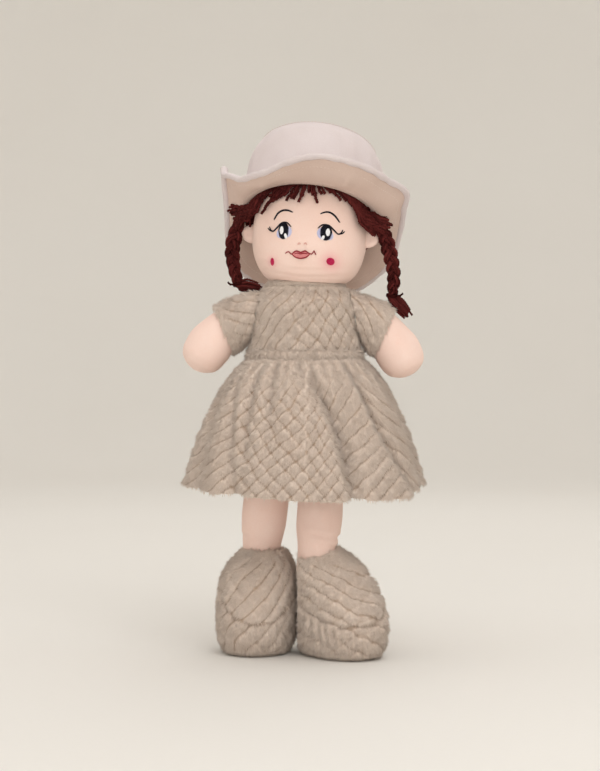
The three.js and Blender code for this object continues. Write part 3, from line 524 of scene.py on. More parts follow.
@dataclass(frozen=True)
class Plush(Finish):
    """A pile with painted shade: darker at its roots and in the quilting lines."""

    # Colour of the painted shade in the quilting lines and at the roots of the tufts.
    groove: int = 0xA88C74

    def colour(self, graph: Graph, place: bpy.types.NodeSocket) -> bpy.types.NodeSocket:
        """Return the colour, from the height along a tuft, each tuft's own random tone and the quilting line,
        with painted shade at the roots and in the lines.
        """
        worn = super().colour(graph, place)
        strands = graph.math("MULTIPLY_ADD", graph.attribute("tip"), 0.62)
        graph.tree.links.new(graph.math("MULTIPLY", graph.attribute("shade"), 0.38), strands.node.inputs[2])
        # Painted shade at the roots: the colour goes part of the way to the groove colour where the tip value
        # is low.
        root_shaded = graph.mixed(strands, graph.mixed(0.26, worn, linear(self.groove)), worn)
        # Painted shade in the quilting lines, where the quilt value is low, broken up by noise.
        broken = graph.math("SUBTRACT", graph.math("MULTIPLY", graph.attribute("quilt"), 1.5), 0.12)
        uneven = graph.math("ADD", broken, graph.math("MULTIPLY", self.noise(graph, place, 7), 0.25))
        clear = graph.math("MINIMUM", graph.math("MAXIMUM", uneven, 0.0), 1.0)
        return graph.mixed(clear, linear(self.groove), root_shaded)


@dataclass(frozen=True)
class Knit(Finish):
    """A fine jersey, with rows of stitches in its height."""

    blush: int = 0xE9909A

    def colour(self, graph: Graph, place: bpy.types.NodeSocket) -> bpy.types.NodeSocket:
        """Return the colour, with the blush round the cheeks on top."""
        return graph.mixed(graph.attribute("blush"), super().colour(graph, place), linear(self.blush))

    def height(self, graph: Graph, place: bpy.types.NodeSocket) -> bpy.types.NodeSocket:
        """Return the height of the stitches, two crossed waves broken by noise."""
        rows = [
            graph.add(
                "ShaderNodeTexWave",
                {"Vector": place, "Scale": 0.3 / (self.grain * MM), "Distortion": 1.2, "Detail": 1.0},
                bands_direction=axis,
            ).outputs["Fac"]
            for axis in ("X", "Z")
        ]
        woven = graph.math("MULTIPLY", rows[0], rows[1])
        return graph.math("ADD", woven, self.noise(graph, place, self.grain))


@dataclass(frozen=True)
class Yarn(Finish):
    """Dyed fibres whose tone differs from strand to strand."""

    def colour(self, graph: Graph, place: bpy.types.NodeSocket) -> bpy.types.NodeSocket:
        """Return the colour, from each strand's own shade and fine noise."""
        fine = graph.math("MULTIPLY", self.noise(graph, place, 1.5 * self.grain), 0.5)
        share = graph.math("MULTIPLY_ADD", graph.attribute("shade"), 0.75)
        graph.tree.links.new(fine, share.node.inputs[2])
        return graph.mixed(share, linear(self.shade), linear(self.tone))


class Finishes(Enum):
    """Every finish of the doll."""

    SKIN = Knit("jersey", 0xF7DFD4, 0xF2D0C2, 0.8, 0.3, 0.7, 0.1)
    STUFFING = Finish("polyester_fill", 0xF6F4EE, 0xE6E3DA, 0.95, 0.2, 1.5, 0.8, 9.0)
    PLUSH = Plush("quilted_plush", 0xFCEEE2, 0xEFDED0, 0.92, 0.5, 0.7, 0.4, 17.0, 0.2)
    VELVET = Finish("hat_velvet", 0xDDD3D3, 0xD2C5C3, 0.75, 0.4, 0.6, 0.12, 30.0, 0.3)
    # The upper velvet made darker and browner: painted shade under the brim.
    VELVET_UNDER_SHADED = Finish("hat_velvet_under_shaded", 0xD9C4B9, 0xCCB3A6, 0.78, 0.35, 0.6, 0.12, 30.0, 0.3)
    SEAM = Finish("hat_thread", 0xE6D8D0, 0xD8C5BA, 0.6, 0.2, 0.4, 0.1)
    HAIR = Yarn("dyed_hair_fibre", 0x672D2B, 0x301211, 0.85, 0.0, 0.35, 0.25, 9.0, 0.1)
    TIE = Yarn("dyed_tie_fibre", 0x4A1E1C, 0x200A09, 0.85, 0.0, 0.35, 0.25, 9.0, 0.1)
    INK = Yarn("black_thread", 0x2B2A33, 0x0D0C12, 0.42, 0.1, 0.2, 0.08)
    WHITE = Yarn("white_thread", 0xFFFFFF, 0xEDEFF5, 0.4, 0.1, 0.2, 0.08)
    LILAC = Yarn("lilac_thread", 0xD3D3EA, 0xB9BBDC, 0.45, 0.1, 0.2, 0.08)
    LIP = Yarn("lip_thread", 0xE39A9A, 0xD27E80, 0.42, 0.1, 0.2, 0.08)
    LIP_EDGE = Yarn("lip_edge_thread", 0xA2343F, 0x842630, 0.42, 0.1, 0.2, 0.08)
    ROSE = Yarn("cheek_thread", 0xD23A66, 0xB82450, 0.45, 0.1, 0.2, 0.08)
    NOSE = Yarn("nose_thread", 0xEFC2B6, 0xE6B3A7, 0.5, 0.1, 0.2, 0.08)
    FLOOR = Finish("floor", 0xEAE7E2, 0xE7E3DD, 0.9, 0.0, 2.0, 0.02, 600.0)


# Pieces of the doll


@dataclass
class Piece:
    """Where a made mesh belongs. The body is empty for a piece that is tied to no body."""

    name: str
    body: str
    finish: Finishes
    slot: str = ""
    stands_for: tuple[str, ...] = ()

    def show(self, mesh: bpy.types.Mesh) -> bpy.types.Object:
        """Put a mesh in the scene and tie it to the part.

        Args:
            mesh: The finished mesh.

        Returns:
            The object that shows it.
        """
        if not mesh.materials:
            mesh.materials.append(self.finish.value.material())
        piece = bpy.data.objects.new(self.name, mesh)
        bpy.context.scene.collection.objects.link(piece)
        if self.body:
            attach(piece, self.body)
        if self.stands_for:
            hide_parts(*self.stands_for)
        LOG.info("%s: %d faces", self.name, len(mesh.polygons))
        return piece


class Socket(Enum):
    """Types of the named inputs of a Geometry Nodes tree."""

    NUMBER = "NodeSocketFloat"
    COUNT = "NodeSocketInt"
    MATERIAL = "NodeSocketMaterial"


@dataclass
class Recipe:
    """A Geometry Nodes tree with named inputs, which is run on a mesh and leaves a plain mesh."""

    name: str
    inputs: dict[str, Socket]

    def tree(self) -> bpy.types.NodeTree:
        """Return the tree, made at its first use."""
        found = bpy.data.node_groups.get(self.name)
        if found:
            return found
        tree = bpy.data.node_groups.new(self.name, "GeometryNodeTree")
        tree.interface.new_socket("Geometry", in_out="INPUT", socket_type="NodeSocketGeometry")
        for name, kind in self.inputs.items():
            tree.interface.new_socket(name, in_out="INPUT", socket_type=kind.value)
        tree.interface.new_socket("Geometry", in_out="OUTPUT", socket_type="NodeSocketGeometry")
        graph = Graph(tree)
        given = graph.add("NodeGroupInput")
        made = self.steps(graph, given.outputs)
        real = graph.add("GeometryNodeRealizeInstances", {"Geometry": made})
        smooth = graph.add("GeometryNodeSetShadeSmooth", {"Geometry": real.outputs[0]})
        painted = graph.add(
            "GeometryNodeSetMaterial", {"Geometry": smooth.outputs[0], "Material": given.outputs["Material"]}
        )
        graph.add("NodeGroupOutput", {0: painted.outputs[0]})
        return tree

    def steps(self, graph: Graph, given: bpy.types.NodeOutputs) -> bpy.types.NodeSocket:
        """Add the nodes that make the shape and return its socket. Each recipe has its own."""
        raise NotImplementedError

    def run(self, source: bpy.types.Mesh, finish: Finishes, **values: float) -> bpy.types.Mesh:
        """Run the tree on a mesh.

        Args:
            source: Mesh that it works from, which is removed.
            finish: Finish of what it makes.
            **values: Its other inputs, by name with underscores for spaces.

        Returns:
            The plain mesh that it made.
        """
        holder = bpy.data.objects.new(self.name, source)
        bpy.context.scene.collection.objects.link(holder)
        modifier = holder.modifiers.new(self.name, "NODES")
        modifier.node_group = self.tree()
        wanted = {name.replace("_", " "): value for name, value in values.items()}
        wanted["Material"] = finish.value.material()
        for item in modifier.node_group.interface.items_tree:
            if item.name in wanted:
                modifier[item.identifier] = wanted[item.name]
        graph = bpy.context.evaluated_depsgraph_get()
        made = bpy.data.meshes.new_from_object(
            holder.evaluated_get(graph), preserve_all_data_layers=True, depsgraph=graph
        )
        bpy.data.objects.remove(holder)
        bpy.data.meshes.remove(source)
        return made


class PileRecipe(Recipe):
    """Tapered tufts scattered over a cloth, each one lying the way that the cloth's lie attribute says."""

    def steps(self, graph: Graph, given: bpy.types.NodeOutputs) -> bpy.types.NodeSocket:
        """Scatter, shade, turn and size the tufts."""
        thick = graph.add("GeometryNodeInputNamedAttribute", {"Name": "pile"}, data_type="FLOAT").outputs[0]
        density = graph.math("MULTIPLY", given["Density"], thick)
        points = graph.add(
            "GeometryNodeDistributePointsOnFaces",
            {"Mesh": given["Geometry"], "Density": density, "Seed": given["Seed"]},
            distribute_method="RANDOM",
        )
        own = graph.add("FunctionNodeRandomValue", {"Seed": given["Seed"]}, data_type="FLOAT")
        shaded = graph.add(
            "GeometryNodeStoreNamedAttribute",
            {"Geometry": points.outputs["Points"], "Name": "shade", "Value": own.outputs[1]},
            data_type="FLOAT",
            domain="POINT",
        )
        grounded = graph.add(
            "GeometryNodeStoreNamedAttribute",
            {"Geometry": shaded.outputs[0], "Name": "ground", "Value": points.outputs["Normal"]},
            data_type="FLOAT_VECTOR",
            domain="POINT",
        )
        tuft = graph.add(
            "GeometryNodeMeshCone",
            {
                "Vertices": 3,
                "Side Segments": 1,
                "Radius Top": 0.0,
                "Radius Bottom": given["Width"],
                "Depth": given["Length"],
            },
            fill_type="NONE",
        )
        # The tip value also sets the painted shade at the roots of the tufts in the plush colour.
        height = graph.add("ShaderNodeSeparateXYZ", {0: graph.add("GeometryNodeInputPosition").outputs[0]})
        tip = graph.math("DIVIDE", height.outputs["Z"], given["Length"])
        tipped = graph.add(
            "GeometryNodeStoreNamedAttribute",
            {"Geometry": tuft.outputs["Mesh"], "Name": "tip", "Value": tip},
            data_type="FLOAT",
            domain="POINT",
        )
        lie = graph.add(
            "GeometryNodeInputNamedAttribute", {"Name": "lie"}, data_type="FLOAT_VECTOR"
        ).outputs[0]
        stray = graph.add("FunctionNodeRandomValue", {"Seed": given["Seed"]}, data_type="FLOAT_VECTOR")
        stray.inputs["Min"].default_value = (-0.42, -0.42, -0.42)
        stray.inputs["Max"].default_value = (0.42, 0.42, 0.42)
        heading = graph.add("ShaderNodeVectorMath", {0: lie, 1: stray.outputs[0]}, operation="ADD")
        facing = graph.add("FunctionNodeAlignRotationToVector", {"Vector": heading.outputs[0]}, axis="Z")
        size = graph.add("FunctionNodeRandomValue", {2: 0.6, 3: 1.25}, data_type="FLOAT")
        scale = graph.math("MULTIPLY", size.outputs[1], graph.math("MULTIPLY_ADD", thick, 0.55))
        scale.node.inputs[1].default_value = 0.55
        return graph.add(
            "GeometryNodeInstanceOnPoints",
            {
                "Points": grounded.outputs[0],
                "Instance": tipped.outputs[0],
                "Rotation": facing.outputs[0],
                "Scale": scale,
            },
        ).outputs[0]


class StrandRecipe(Recipe):
    """Twisted, lobed strands along every line of a mesh, as thick as its thick attribute says."""

    def steps(self, graph: Graph, given: bpy.types.NodeOutputs) -> bpy.types.NodeSocket:
        """Turn the lines into twisted tubes."""
        lines = graph.add("GeometryNodeMeshToCurve", {0: given["Geometry"]})
        along = graph.add("GeometryNodeSplineParameter").outputs["Length"]
        tilt = graph.math("MULTIPLY", along, given["Twist"])
        twisted = graph.add("GeometryNodeSetCurveTilt", {"Curve": lines.outputs[0], "Tilt": tilt})
        section = graph.add(
            "GeometryNodeCurveStar",
            {"Points": given["Lobes"], "Inner Radius": given["Hollow"], "Outer Radius": 1.0},
        )
        thick = graph.add("GeometryNodeInputNamedAttribute", {"Name": "thick"}, data_type="FLOAT").outputs[0]
        return graph.add(
            "GeometryNodeCurveToMesh",
            {
                "Curve": twisted.outputs[0],
                "Profile Curve": section.outputs[0],
                "Scale": thick,
                "Fill Caps": True,
            },
        ).outputs[0]


class StitchRecipe(Recipe):
    """Single stitches in a row along every line of a mesh."""

    def steps(self, graph: Graph, given: bpy.types.NodeOutputs) -> bpy.types.NodeSocket:
        """Space the stitches along the lines and point them the right way."""
        lines = graph.add("GeometryNodeMeshToCurve", {0: given["Geometry"]})
        spaced = graph.add(
            "GeometryNodeCurveToPoints",
            {"Curve": lines.outputs[0], "Length": given["Spacing"]},
            mode="LENGTH",
        )
        stitch = graph.add("GeometryNodeMeshIcoSphere", {"Radius": 0.5, "Subdivisions": 1})
        facing = graph.add(
            "FunctionNodeAlignRotationToVector", {"Vector": spaced.outputs["Tangent"]}, axis="Z"
        )
        size = graph.add(
            "ShaderNodeCombineXYZ", {"X": given["Width"], "Y": given["Width"], "Z": given["Length"]}
        )
        return graph.add(
            "GeometryNodeInstanceOnPoints",
            {
                "Points": spaced.outputs[0],
                "Instance": stitch.outputs[0],
                "Rotation": facing.outputs[0],
                "Scale": size.outputs[0],
            },
        ).outputs[0]


PILE = PileRecipe(
    "pile",
    {
        "Density": Socket.NUMBER,
        "Length": Socket.NUMBER,
        "Width": Socket.NUMBER,
        "Seed": Socket.COUNT,
        "Material": Socket.MATERIAL,
    },
)
STRANDS = StrandRecipe(
    "strands",
    {"Lobes": Socket.COUNT, "Hollow": Socket.NUMBER, "Twist": Socket.NUMBER, "Material": Socket.MATERIAL},
)
STITCHES = StitchRecipe(
    "stitches",
    {"Spacing": Socket.NUMBER, "Width": Socket.NUMBER, "Length": Socket.NUMBER, "Material": Socket.MATERIAL},
)


@dataclass
class Lines:
    """Lines in millimetres, each with a thickness and a shade of its own, that strands or stitches follow."""

    paths: list[Array] = field(default_factory=list)
    radii: list[Array] = field(default_factory=list)
    shades: list[float] = field(default_factory=list)

    def add(self, path: Array, radius: float | Array, shade: float = 0.5) -> None:
        """Add a line with the radius that its strand has."""
        self.paths.append(path)
        self.radii.append(np.broadcast_to(radius, len(path)))
        self.shades.append(shade)

    def mesh(self, name: str, close: bool = False) -> bpy.types.Mesh:
        """Make the mesh of loose edges that a recipe works from.

        Args:
            name: Name of the mesh.
            close: Whether each line joins its own start.

        Returns:
            The mesh, in metres in the part's frame.
        """
        points = np.vstack(self.paths) * MM + PLACE
        edges, start = [], 0
        for path in self.paths:
            run = np.arange(start, start + len(path))
            edges.append(np.stack([run, np.roll(run, -1)], 1) if close else np.stack([run[:-1], run[1:]], 1))
            start += len(path)
        mesh = bpy.data.meshes.new(name)
        mesh.from_pydata(points.tolist(), np.vstack(edges).tolist(), [])
        shades = np.concatenate([np.full(len(path), shade) for path, shade in zip(self.paths, self.shades)])
        write_layers(mesh, {"thick": np.concatenate(self.radii) * MM, "shade": shades})
        return mesh

    def strands(
        self, piece: Piece, lobes: int = 3, hollow: float = 0.7, pitch: float = 6.0
    ) -> bpy.types.Object:
        """Show the lines as twisted strands.

        Args:
            piece: What the strands are.
            lobes: Plies of a strand.
            hollow: Share of its radius between the plies.
            pitch: Length of one turn of the twist, in millimetres.

        Returns:
            The object that shows them.
        """
        twist = 2 * math.pi / (pitch * MM) if pitch else 0.0
        mesh = self.mesh(piece.name)
        return piece.show(STRANDS.run(mesh, piece.finish, Lobes=lobes, Hollow=hollow, Twist=twist))

    def stitches(
        self, piece: Piece, length: float, width: float, gap: float, close: bool = False
    ) -> bpy.types.Object:
        """Show rows of stitches along the lines, with sizes in millimetres."""
        made = STITCHES.run(
            self.mesh(piece.name, close),
            piece.finish,
            Spacing=(length + gap) * MM,
            Width=width * MM,
            Length=length * MM,
        )
        return piece.show(made)


# Quilted plush


@dataclass
class Quilting:
    """Diamond cells pressed into a plush, in cells across and millimetres of cell height."""

    cells: float
    cell_height: float = 16.5
    puff: float = 0.9
    line: float = 0.5
    seed: int = 3
    density: float = 1.5
    length: float = 3.6
    width: float = 0.36

    def press(self, shape: Shape, around: Array, along: Array, lean: Array, plain: Array) -> Shape:
        """Raise the cells and note the quilting lines and the lie of the pile.

        Args:
            shape: Cloth surface, whose points get new places and values.
            around: Share of the way round for each point.
            along: Distance along the cloth in millimetres for each point.
            lean: Strength from -1 to 1 of one set of lines over the other.
            plain: One where the cloth has no quilting, zero where it has.

        Returns:
            The same shape.
        """
        drift = 0.15 * waves(shape.points, 42, self.seed) + 0.07 * waves(shape.points, 14, self.seed + 1)
        rising = self.cells * around + along / self.cell_height + drift
        falling = self.cells * around - along / self.cell_height + 0.8 * drift
        both = []
        for place, strength in ((rising, 1 + np.minimum(lean, 0)), (falling, 1 - np.maximum(lean, 0))):
            off = np.abs(place - np.round(place))
            both.append((off, strength * (1 - plain)))
        quilt, pillow = np.ones(len(shape.points)), np.ones(len(shape.points))
        for off, strength in both:
            quilt *= 1 - 0.8 * strength * bell(off, 0.1)
            pillow *= 1 - strength * (1 - np.sin(math.pi * off) ** 0.7)
        ruffle = 0.35 * waves(shape.points, 9, self.seed + 2)
        normals = shape.normals()
        raised = self.puff * (pillow - 0.6) - self.line * (1 - quilt) + ruffle
        shape.points = shape.points + normals * raised[:, None]
        downward = unit(-UP - normals * (-normals[:, 2:3]))
        sideways = 0.3 * waves(shape.points, 26, self.seed + 4)[:, None] * np.cross(normals, downward)
        # The quilt value also sets the painted shade of the lines in the plush colour.
        shape.layers["quilt"] = quilt
        shape.layers["pile"] = 0.25 + 0.75 * quilt
        shape.layers["lie"] = 0.62 * normals + 0.75 * downward + sideways
        return shape

    def tufts(self, shape: Shape, piece: Piece, chosen: Array | None = None) -> bpy.types.Object | None:
        """Show the pile that stands on a pressed shape.

        Args:
            shape: The pressed cloth.
            piece: What the pile is.
            chosen: One where the pile grows, zero elsewhere; everywhere by default.

        Returns:
            The object that shows the pile.
        """
        ground = shape if chosen is None else shape.part(chosen)
        made = PILE.run(
            ground.mesh(piece.name),
            piece.finish,
            Density=self.density / MM**2 * 1.0,
            Length=self.length * MM,
            Width=self.width * MM,
            Seed=self.seed,
        )
        soften(made)
        keep_off_floor(made)
        return piece.show(made)


def keep_off_floor(pile: bpy.types.Mesh) -> None:
    """Flatten the tufts that would reach under the floor onto it."""
    places = np.empty(3 * len(pile.vertices), np.float32)
    pile.vertices.foreach_get("co", places)
    places[2::3] = np.maximum(places[2::3], 0.2 * MM)
    pile.vertices.foreach_set("co", places)


def soften(pile: bpy.types.Mesh) -> None:
    """Turn the normals of a pile's tufts most of the way to those of the cloth under them."""
    ground, own = (np.empty(3 * len(pile.vertices), np.float32) for _ in range(2))
    pile.attributes["ground"].data.foreach_get("vector", ground)
    pile.vertices.foreach_get("normal", own)
    pile.normals_split_custom_set_from_vertices(unit(0.45 * ground.reshape(-1, 3) + own.reshape(-1, 3)))
    pile.attributes.remove(pile.attributes["ground"])


# Dress


@dataclass
class Trunk:
    """The body that the dress is fitted to, as half sizes outside the dress at heights."""

    stations: tuple[tuple[float, float, float, float], ...] = (
        (199.0, 47.0, 33.0, 2.4),
        (226.75, 48.0, 36.0, 2.3),
        (254.5, 48.0, 37.0, 2.2),
        (274.8, 46.0, 36.0, 2.3),
        (295.1, 45.0, 33.0, 2.5),
        (306.7, 37.0, 26.0, 2.4),
        (315.5, 28.8, 25.8, 2.0),
    )
    armhole_distance: float = 40.3
    armhole_lean: float = 11.6
    neck_roll: float = 3.0

    def place(self, height: Array, angle: Array, grow: float | Array = 0.0) -> Array:
        """Return the points at heights and angles, a distance outside the dress."""
        width, depth, power = np.moveaxis(eased(self.stations, height), -1, 0)
        across, along = rounded(angle, power)
        return np.stack([(width + grow) * across, (depth + grow) * along, height], -1)

    def out(self, side: int) -> Array:
        """Return the direction that an armhole faces."""
        return turned(BACK, -side * self.armhole_lean) @ (side * RIGHT)

    def armhole(self, side: int) -> Array:
        """Return the middle of an armhole."""
        return np.array([side * self.armhole_distance, 0, SHOULDER_Z])

    def within(self, points: Array, clearance: float) -> Array:
        """Flatten points that lie past an armhole or over the tilted neck plane onto them."""
        points = points.copy()
        for side in (-1, 1):
            out = self.out(side)
            past = np.maximum((points - self.armhole(side)) @ out + clearance, 0)
            points -= past[..., None] * out
        up = turned(BACK, self.neck_roll) @ UP
        past = np.maximum((points - np.array([2.0, 0, NECK_Z])) @ up + clearance, 0)
        return points - past[..., None] * up


def shell(outer: Array, thickness: float, coarse: int = 4) -> Array:
    """Close a grid of rings with an inner layer, as rows of one loop.

    Args:
        outer: Rings of the outside, from one edge to the other.
        thickness: Distance to the inside.
        coarse: Only every so many rows of the outside have one inside.

    Returns:
        A grid whose last row joins its first.
    """
    surface = Shape.skin(outer)
    normals = surface.normals().reshape(outer.shape)
    middle = outer.reshape(-1, 3).mean(0)
    if np.einsum("ijk,ijk->", normals, outer - middle) < 0:
        normals = -normals
    inner = (outer - thickness * normals)[::-1]
    rows = np.unique(np.append(np.arange(0, len(inner), coarse), len(inner) - 1))
    return np.concatenate([outer, inner[rows]])


@dataclass
class Dress:
    """The quilted dress: bodice, neck binding, waist band, gathered skirt and two sleeves."""

    trunk: Trunk = field(default_factory=Trunk)
    band_height: float = 7.0
    binding_height: float = 3.0
    pitch: float = 1.2
    skirt_drop: float = 104.0
    front_dip: float = 11.0
    hem_slant: float = 2.5
    waist: tuple[float, float] = (96.0, 74.0)
    hem: tuple[float, float] = (202.0, 152.0)
    flare: tuple[tuple[float, float, float], ...] = (
        (0, 0, 0),
        (0.12, 0.23, 0.4),
        (0.32, 0.48, 0.75),
        (0.65, 0.77, 0.95),
        (1, 1, 1),
    )
    ridge: float = 2.6
    # Valleys of the skirt: degrees from the front at the waist, half way and at the hem, the depth at
    # the same three, and the width
    valleys: tuple[tuple[float, ...], ...] = (
        (-76, -68, -63, 2, 4, 5, 8),
        (-60, -45, -36, 2, 5, 6, 5),
        (-38, -33, -30, 7, 5, 1, 4.5),
        (-21, -18, -15, 6, 4, 1, 4),
        (-3, 17, 25, 7, 11, 9, 4.5),
        (2, 24, 33, 2, 3, 3, 11),
        (35, 47, 66, 7, 10, 6, 5),
        (40, 56, 76, 2, 3, 3, 10),
        (74, 82, 86, 4, 7, 8, 8),
        (108, 112, 115, 5, 8, 9, 7),
        (140, 143, 145, 5, 8, 9, 7),
        (171, 173, 176, 5, 8, 9, 7),
        (203, 204, 206, 5, 8, 9, 7),
        (232, 233, 236, 5, 8, 9, 7),
        (262, 264, 266, 4, 7, 8, 8),
    )
    gathers: int = 37
    gather_depth: float = 0.9
    skirt_cells: int = 34
    cell_spread: float = 0.85
    cell_squash: float = 1.18
    least_cells: float = 0.885
    bodice_cells: int = 22
    sleeve_cells: int = 10
    sleeve_length: float = 26.5
    armhole_size: tuple[float, float] = (37.5, 40.5)
    sleeve_turn: float = 34.0
    sleeve_puff: float = 0.08

    def build(self) -> None:
        """Build the bodice, neck binding, waist band and skirt."""
        self.build_bodice()
        self.build_band()
        self.build_skirt()

    def fitted(self, low: float, high: float, grow: float, curl: float) -> Shape:
        """Make a closed band of cloth round the trunk.

        Args:
            low: Lower height.
            high: Upper height.
            grow: Distance outside the dress.
            curl: How far the edges turn in.

        Returns:
            The band.
        """
        heights = np.linspace(low, high, max(6, round((high - low) / self.pitch)))
        edge = bell(heights - low, 1.2) + bell(heights - high, 1.2)

        def place(height: Array, angle: Array) -> Array:
            """Place a point of the band, turned in near its edges."""
            turn_in = np.interp(height, heights, edge) * curl
            return self.trunk.within(self.trunk.place(height, angle, grow - turn_in), GAP)

        outer = lathe(place, heights, round(270 / self.pitch))
        band = Shape.skin(shell(outer, PLUSH - 0.4), loop=True)
        band.layers["outside"] = (np.arange(len(band.points)) < outer.size // 3).astype(float)
        return band

    def build_bodice(self) -> None:
        """Build the bodice with its pile, and the plain binding at the neck."""
        low, high = WAIST_Z + GAP, NECK_Z - self.binding_height - GAP
        bodice = self.fitted(low, high, -1.6, 0.4)
        around = np.arctan2(bodice.points[:, 1] / 37, bodice.points[:, 0] / 48) / (2 * math.pi)
        left_side = stepped(-bodice.points[:, 0], 0, 26)
        quilting = Quilting(self.bodice_cells, seed=5)
        plain = stepped(bodice.points[:, 2], high - 5, high)
        quilting.press(bodice, around, bodice.points[:, 2], -0.75 * left_side, plain)
        piece = Piece("bodice_cloth", "torso", Finishes.PLUSH, "dress_plush", ("bodice",))
        cloth = piece.show(bodice.mesh("bodice_cloth"))
        piece = Piece("bodice_pile", "torso", Finishes.PLUSH, "dress_plush")
        quilting.tufts(bodice, piece, bodice.layers["outside"])

        binding = self.fitted(NECK_Z - self.binding_height, NECK_Z + 3, -1.6, 0.9)
        fine = Quilting(self.bodice_cells, seed=6, length=3.4)
        fine.press(binding, np.zeros(len(binding.points)), binding.points[:, 2], np.zeros(1), np.ones(1))
        piece = Piece("neck_binding_cloth", "torso", Finishes.PLUSH, "dress_plush", ("neck_binding",))
        piece.show(binding.mesh("neck_binding_cloth"))
        fine.tufts(binding, Piece("neck_binding_pile", "torso", Finishes.PLUSH, "dress_plush"))

    def build_band(self) -> None:
        """Build the plain waist band, which hides the gathers."""
        band = self.fitted(WAIST_Z - self.band_height, WAIST_Z, -1.0, 0.3)
        fine = Quilting(self.skirt_cells, seed=7, length=5.4)
        angle = np.arctan2(band.points[:, 1], band.points[:, 0])
        band.raised(0.35 * np.cos(self.gathers * angle + 3 * np.sin(3 * angle)))
        fine.press(band, np.zeros(len(band.points)), band.points[:, 2], np.zeros(1), np.ones(1))
        piece = Piece("waist_band_cloth", "torso", Finishes.PLUSH, "dress_plush", ("waist_band",))
        piece.show(band.mesh("waist_band_cloth"))
        fine.tufts(band, Piece("waist_band_pile", "torso", Finishes.PLUSH, "dress_plush"))

    def fold(self, share: Array, degrees: Array) -> Array:
        """Return how far the skirt stands out at a share of its drop and an angle from the front."""
        height = np.full(share.shape, self.ridge)
        for *line, width in self.valleys:
            middle, depth = (
                eased([(0, line[k]), (0.5, line[k + 1]), (1, line[k + 2])], share) for k in (0, 3)
            )
            off = (degrees - middle + 180) % 360 - 180
            height -= depth * bell(off, width)
        folded = np.sqrt(eased([(row[0], row[2]) for row in self.flare], share))
        wander = 2 * np.sin(np.radians(5 * degrees))
        fine = self.gather_depth * np.cos(self.gathers * np.radians(degrees) + wander)
        return height * folded + fine * np.exp(-share * 6) * stepped(share, 0, 0.03)

    def skirt_place(self, share: Array, angle: Array) -> Array:
        """Return the points of the skirt's outside at shares of its drop and angles."""
        degrees = np.degrees(angle) + 90
        flare = eased([(row[0], row[1]) for row in self.flare], share)
        fold = self.fold(share, degrees)
        width, depth = ((low + (high - low) * flare) / 2 + fold for low, high in zip(self.waist, self.hem))
        across, along = rounded(angle, 2 + 0.5 * (1 - share))
        drop = self.skirt_drop + self.front_dip * np.maximum(0, -np.sin(angle))
        drop = drop + self.hem_slant * np.cos(angle)
        lift = share**4 * (0.3 * (self.ridge - fold) + 1.2 * np.sin(3 * angle + 1))
        top = WAIST_Z - self.band_height - GAP
        return np.stack([width * across, depth * along, top - drop * share + lift], -1)

    def build_skirt(self) -> None:
        """Build the skirt as one sheet, tied to no body, with its pile on it."""
        shares = np.linspace(0, 1, round(self.skirt_drop / self.pitch))
        columns = 480
        outer = lathe(self.skirt_place, shares, columns)
        skirt = Shape.skin(shell(outer, PLUSH - 0.4), loop=True)
        rows = len(skirt.points) // columns
        degrees = (360 * np.tile(np.linspace(0, 1, columns, endpoint=False), rows) + 270) % 360 - 180
        even = paced(skirt.points.reshape(rows, columns, 3)).ravel()
        fine = np.linspace(0, 1, 721)
        crowded = 1 + self.cell_spread * (math.pi / 2 * np.abs(np.sin(2 * math.pi * fine)) - 1)
        crowded = np.maximum(crowded, self.least_cells)
        total = np.append(0, np.cumsum(crowded[1:] + crowded[:-1]))
        around = np.interp(even, fine, total / total[-1])
        along = skirt.points[:, 2] - (WAIST_Z - self.band_height - self.skirt_drop)
        drop = np.clip(1 - along / self.skirt_drop, 0, 1)
        first, second = 17 * drop + 6, 35 + 28 * drop
        lean = -0.85 * stepped(-degrees, 34, 50) * stepped(degrees, -130, -100)
        lean -= 0.8 * stepped(degrees - first, 0, 8) * stepped(second - degrees, -4, 4)
        lean += 0.85 * stepped(degrees - second, -4, 4) * stepped(-degrees, -140, -110)
        plain = stepped(along, self.skirt_drop - 9, self.skirt_drop)
        quilting = Quilting(self.skirt_cells, seed=11, density=1.45)
        plain = np.maximum(plain, 0.5 * stepped(-drop, -0.3, -0.1))
        quilting.press(skirt, around, self.cell_squash * along, lean, plain)
        piece = Piece("skirt_cloth", "", Finishes.PLUSH, "dress_plush", ("skirt",))
        cloth = piece.show(skirt.mesh("skirt_cloth"))
        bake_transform(cloth)
        outside = np.arange(len(skirt.points)) < len(shares) * columns
        for name, part in (
            ("front_right", (skirt.points[:, 1] < 0) & (skirt.points[:, 0] < 0)),
            ("front_left", (skirt.points[:, 1] < 0) & (skirt.points[:, 0] >= 0)),
            ("back_right", (skirt.points[:, 1] >= 0) & (skirt.points[:, 0] < 0)),
            ("back_left", (skirt.points[:, 1] >= 0) & (skirt.points[:, 0] >= 0)),
        ):
            piece = Piece("skirt_pile_" + name, "", Finishes.PLUSH, "dress_plush")
            pile = quilting.tufts(skirt, piece, (outside & part).astype(float))
            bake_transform(pile)


# Arms


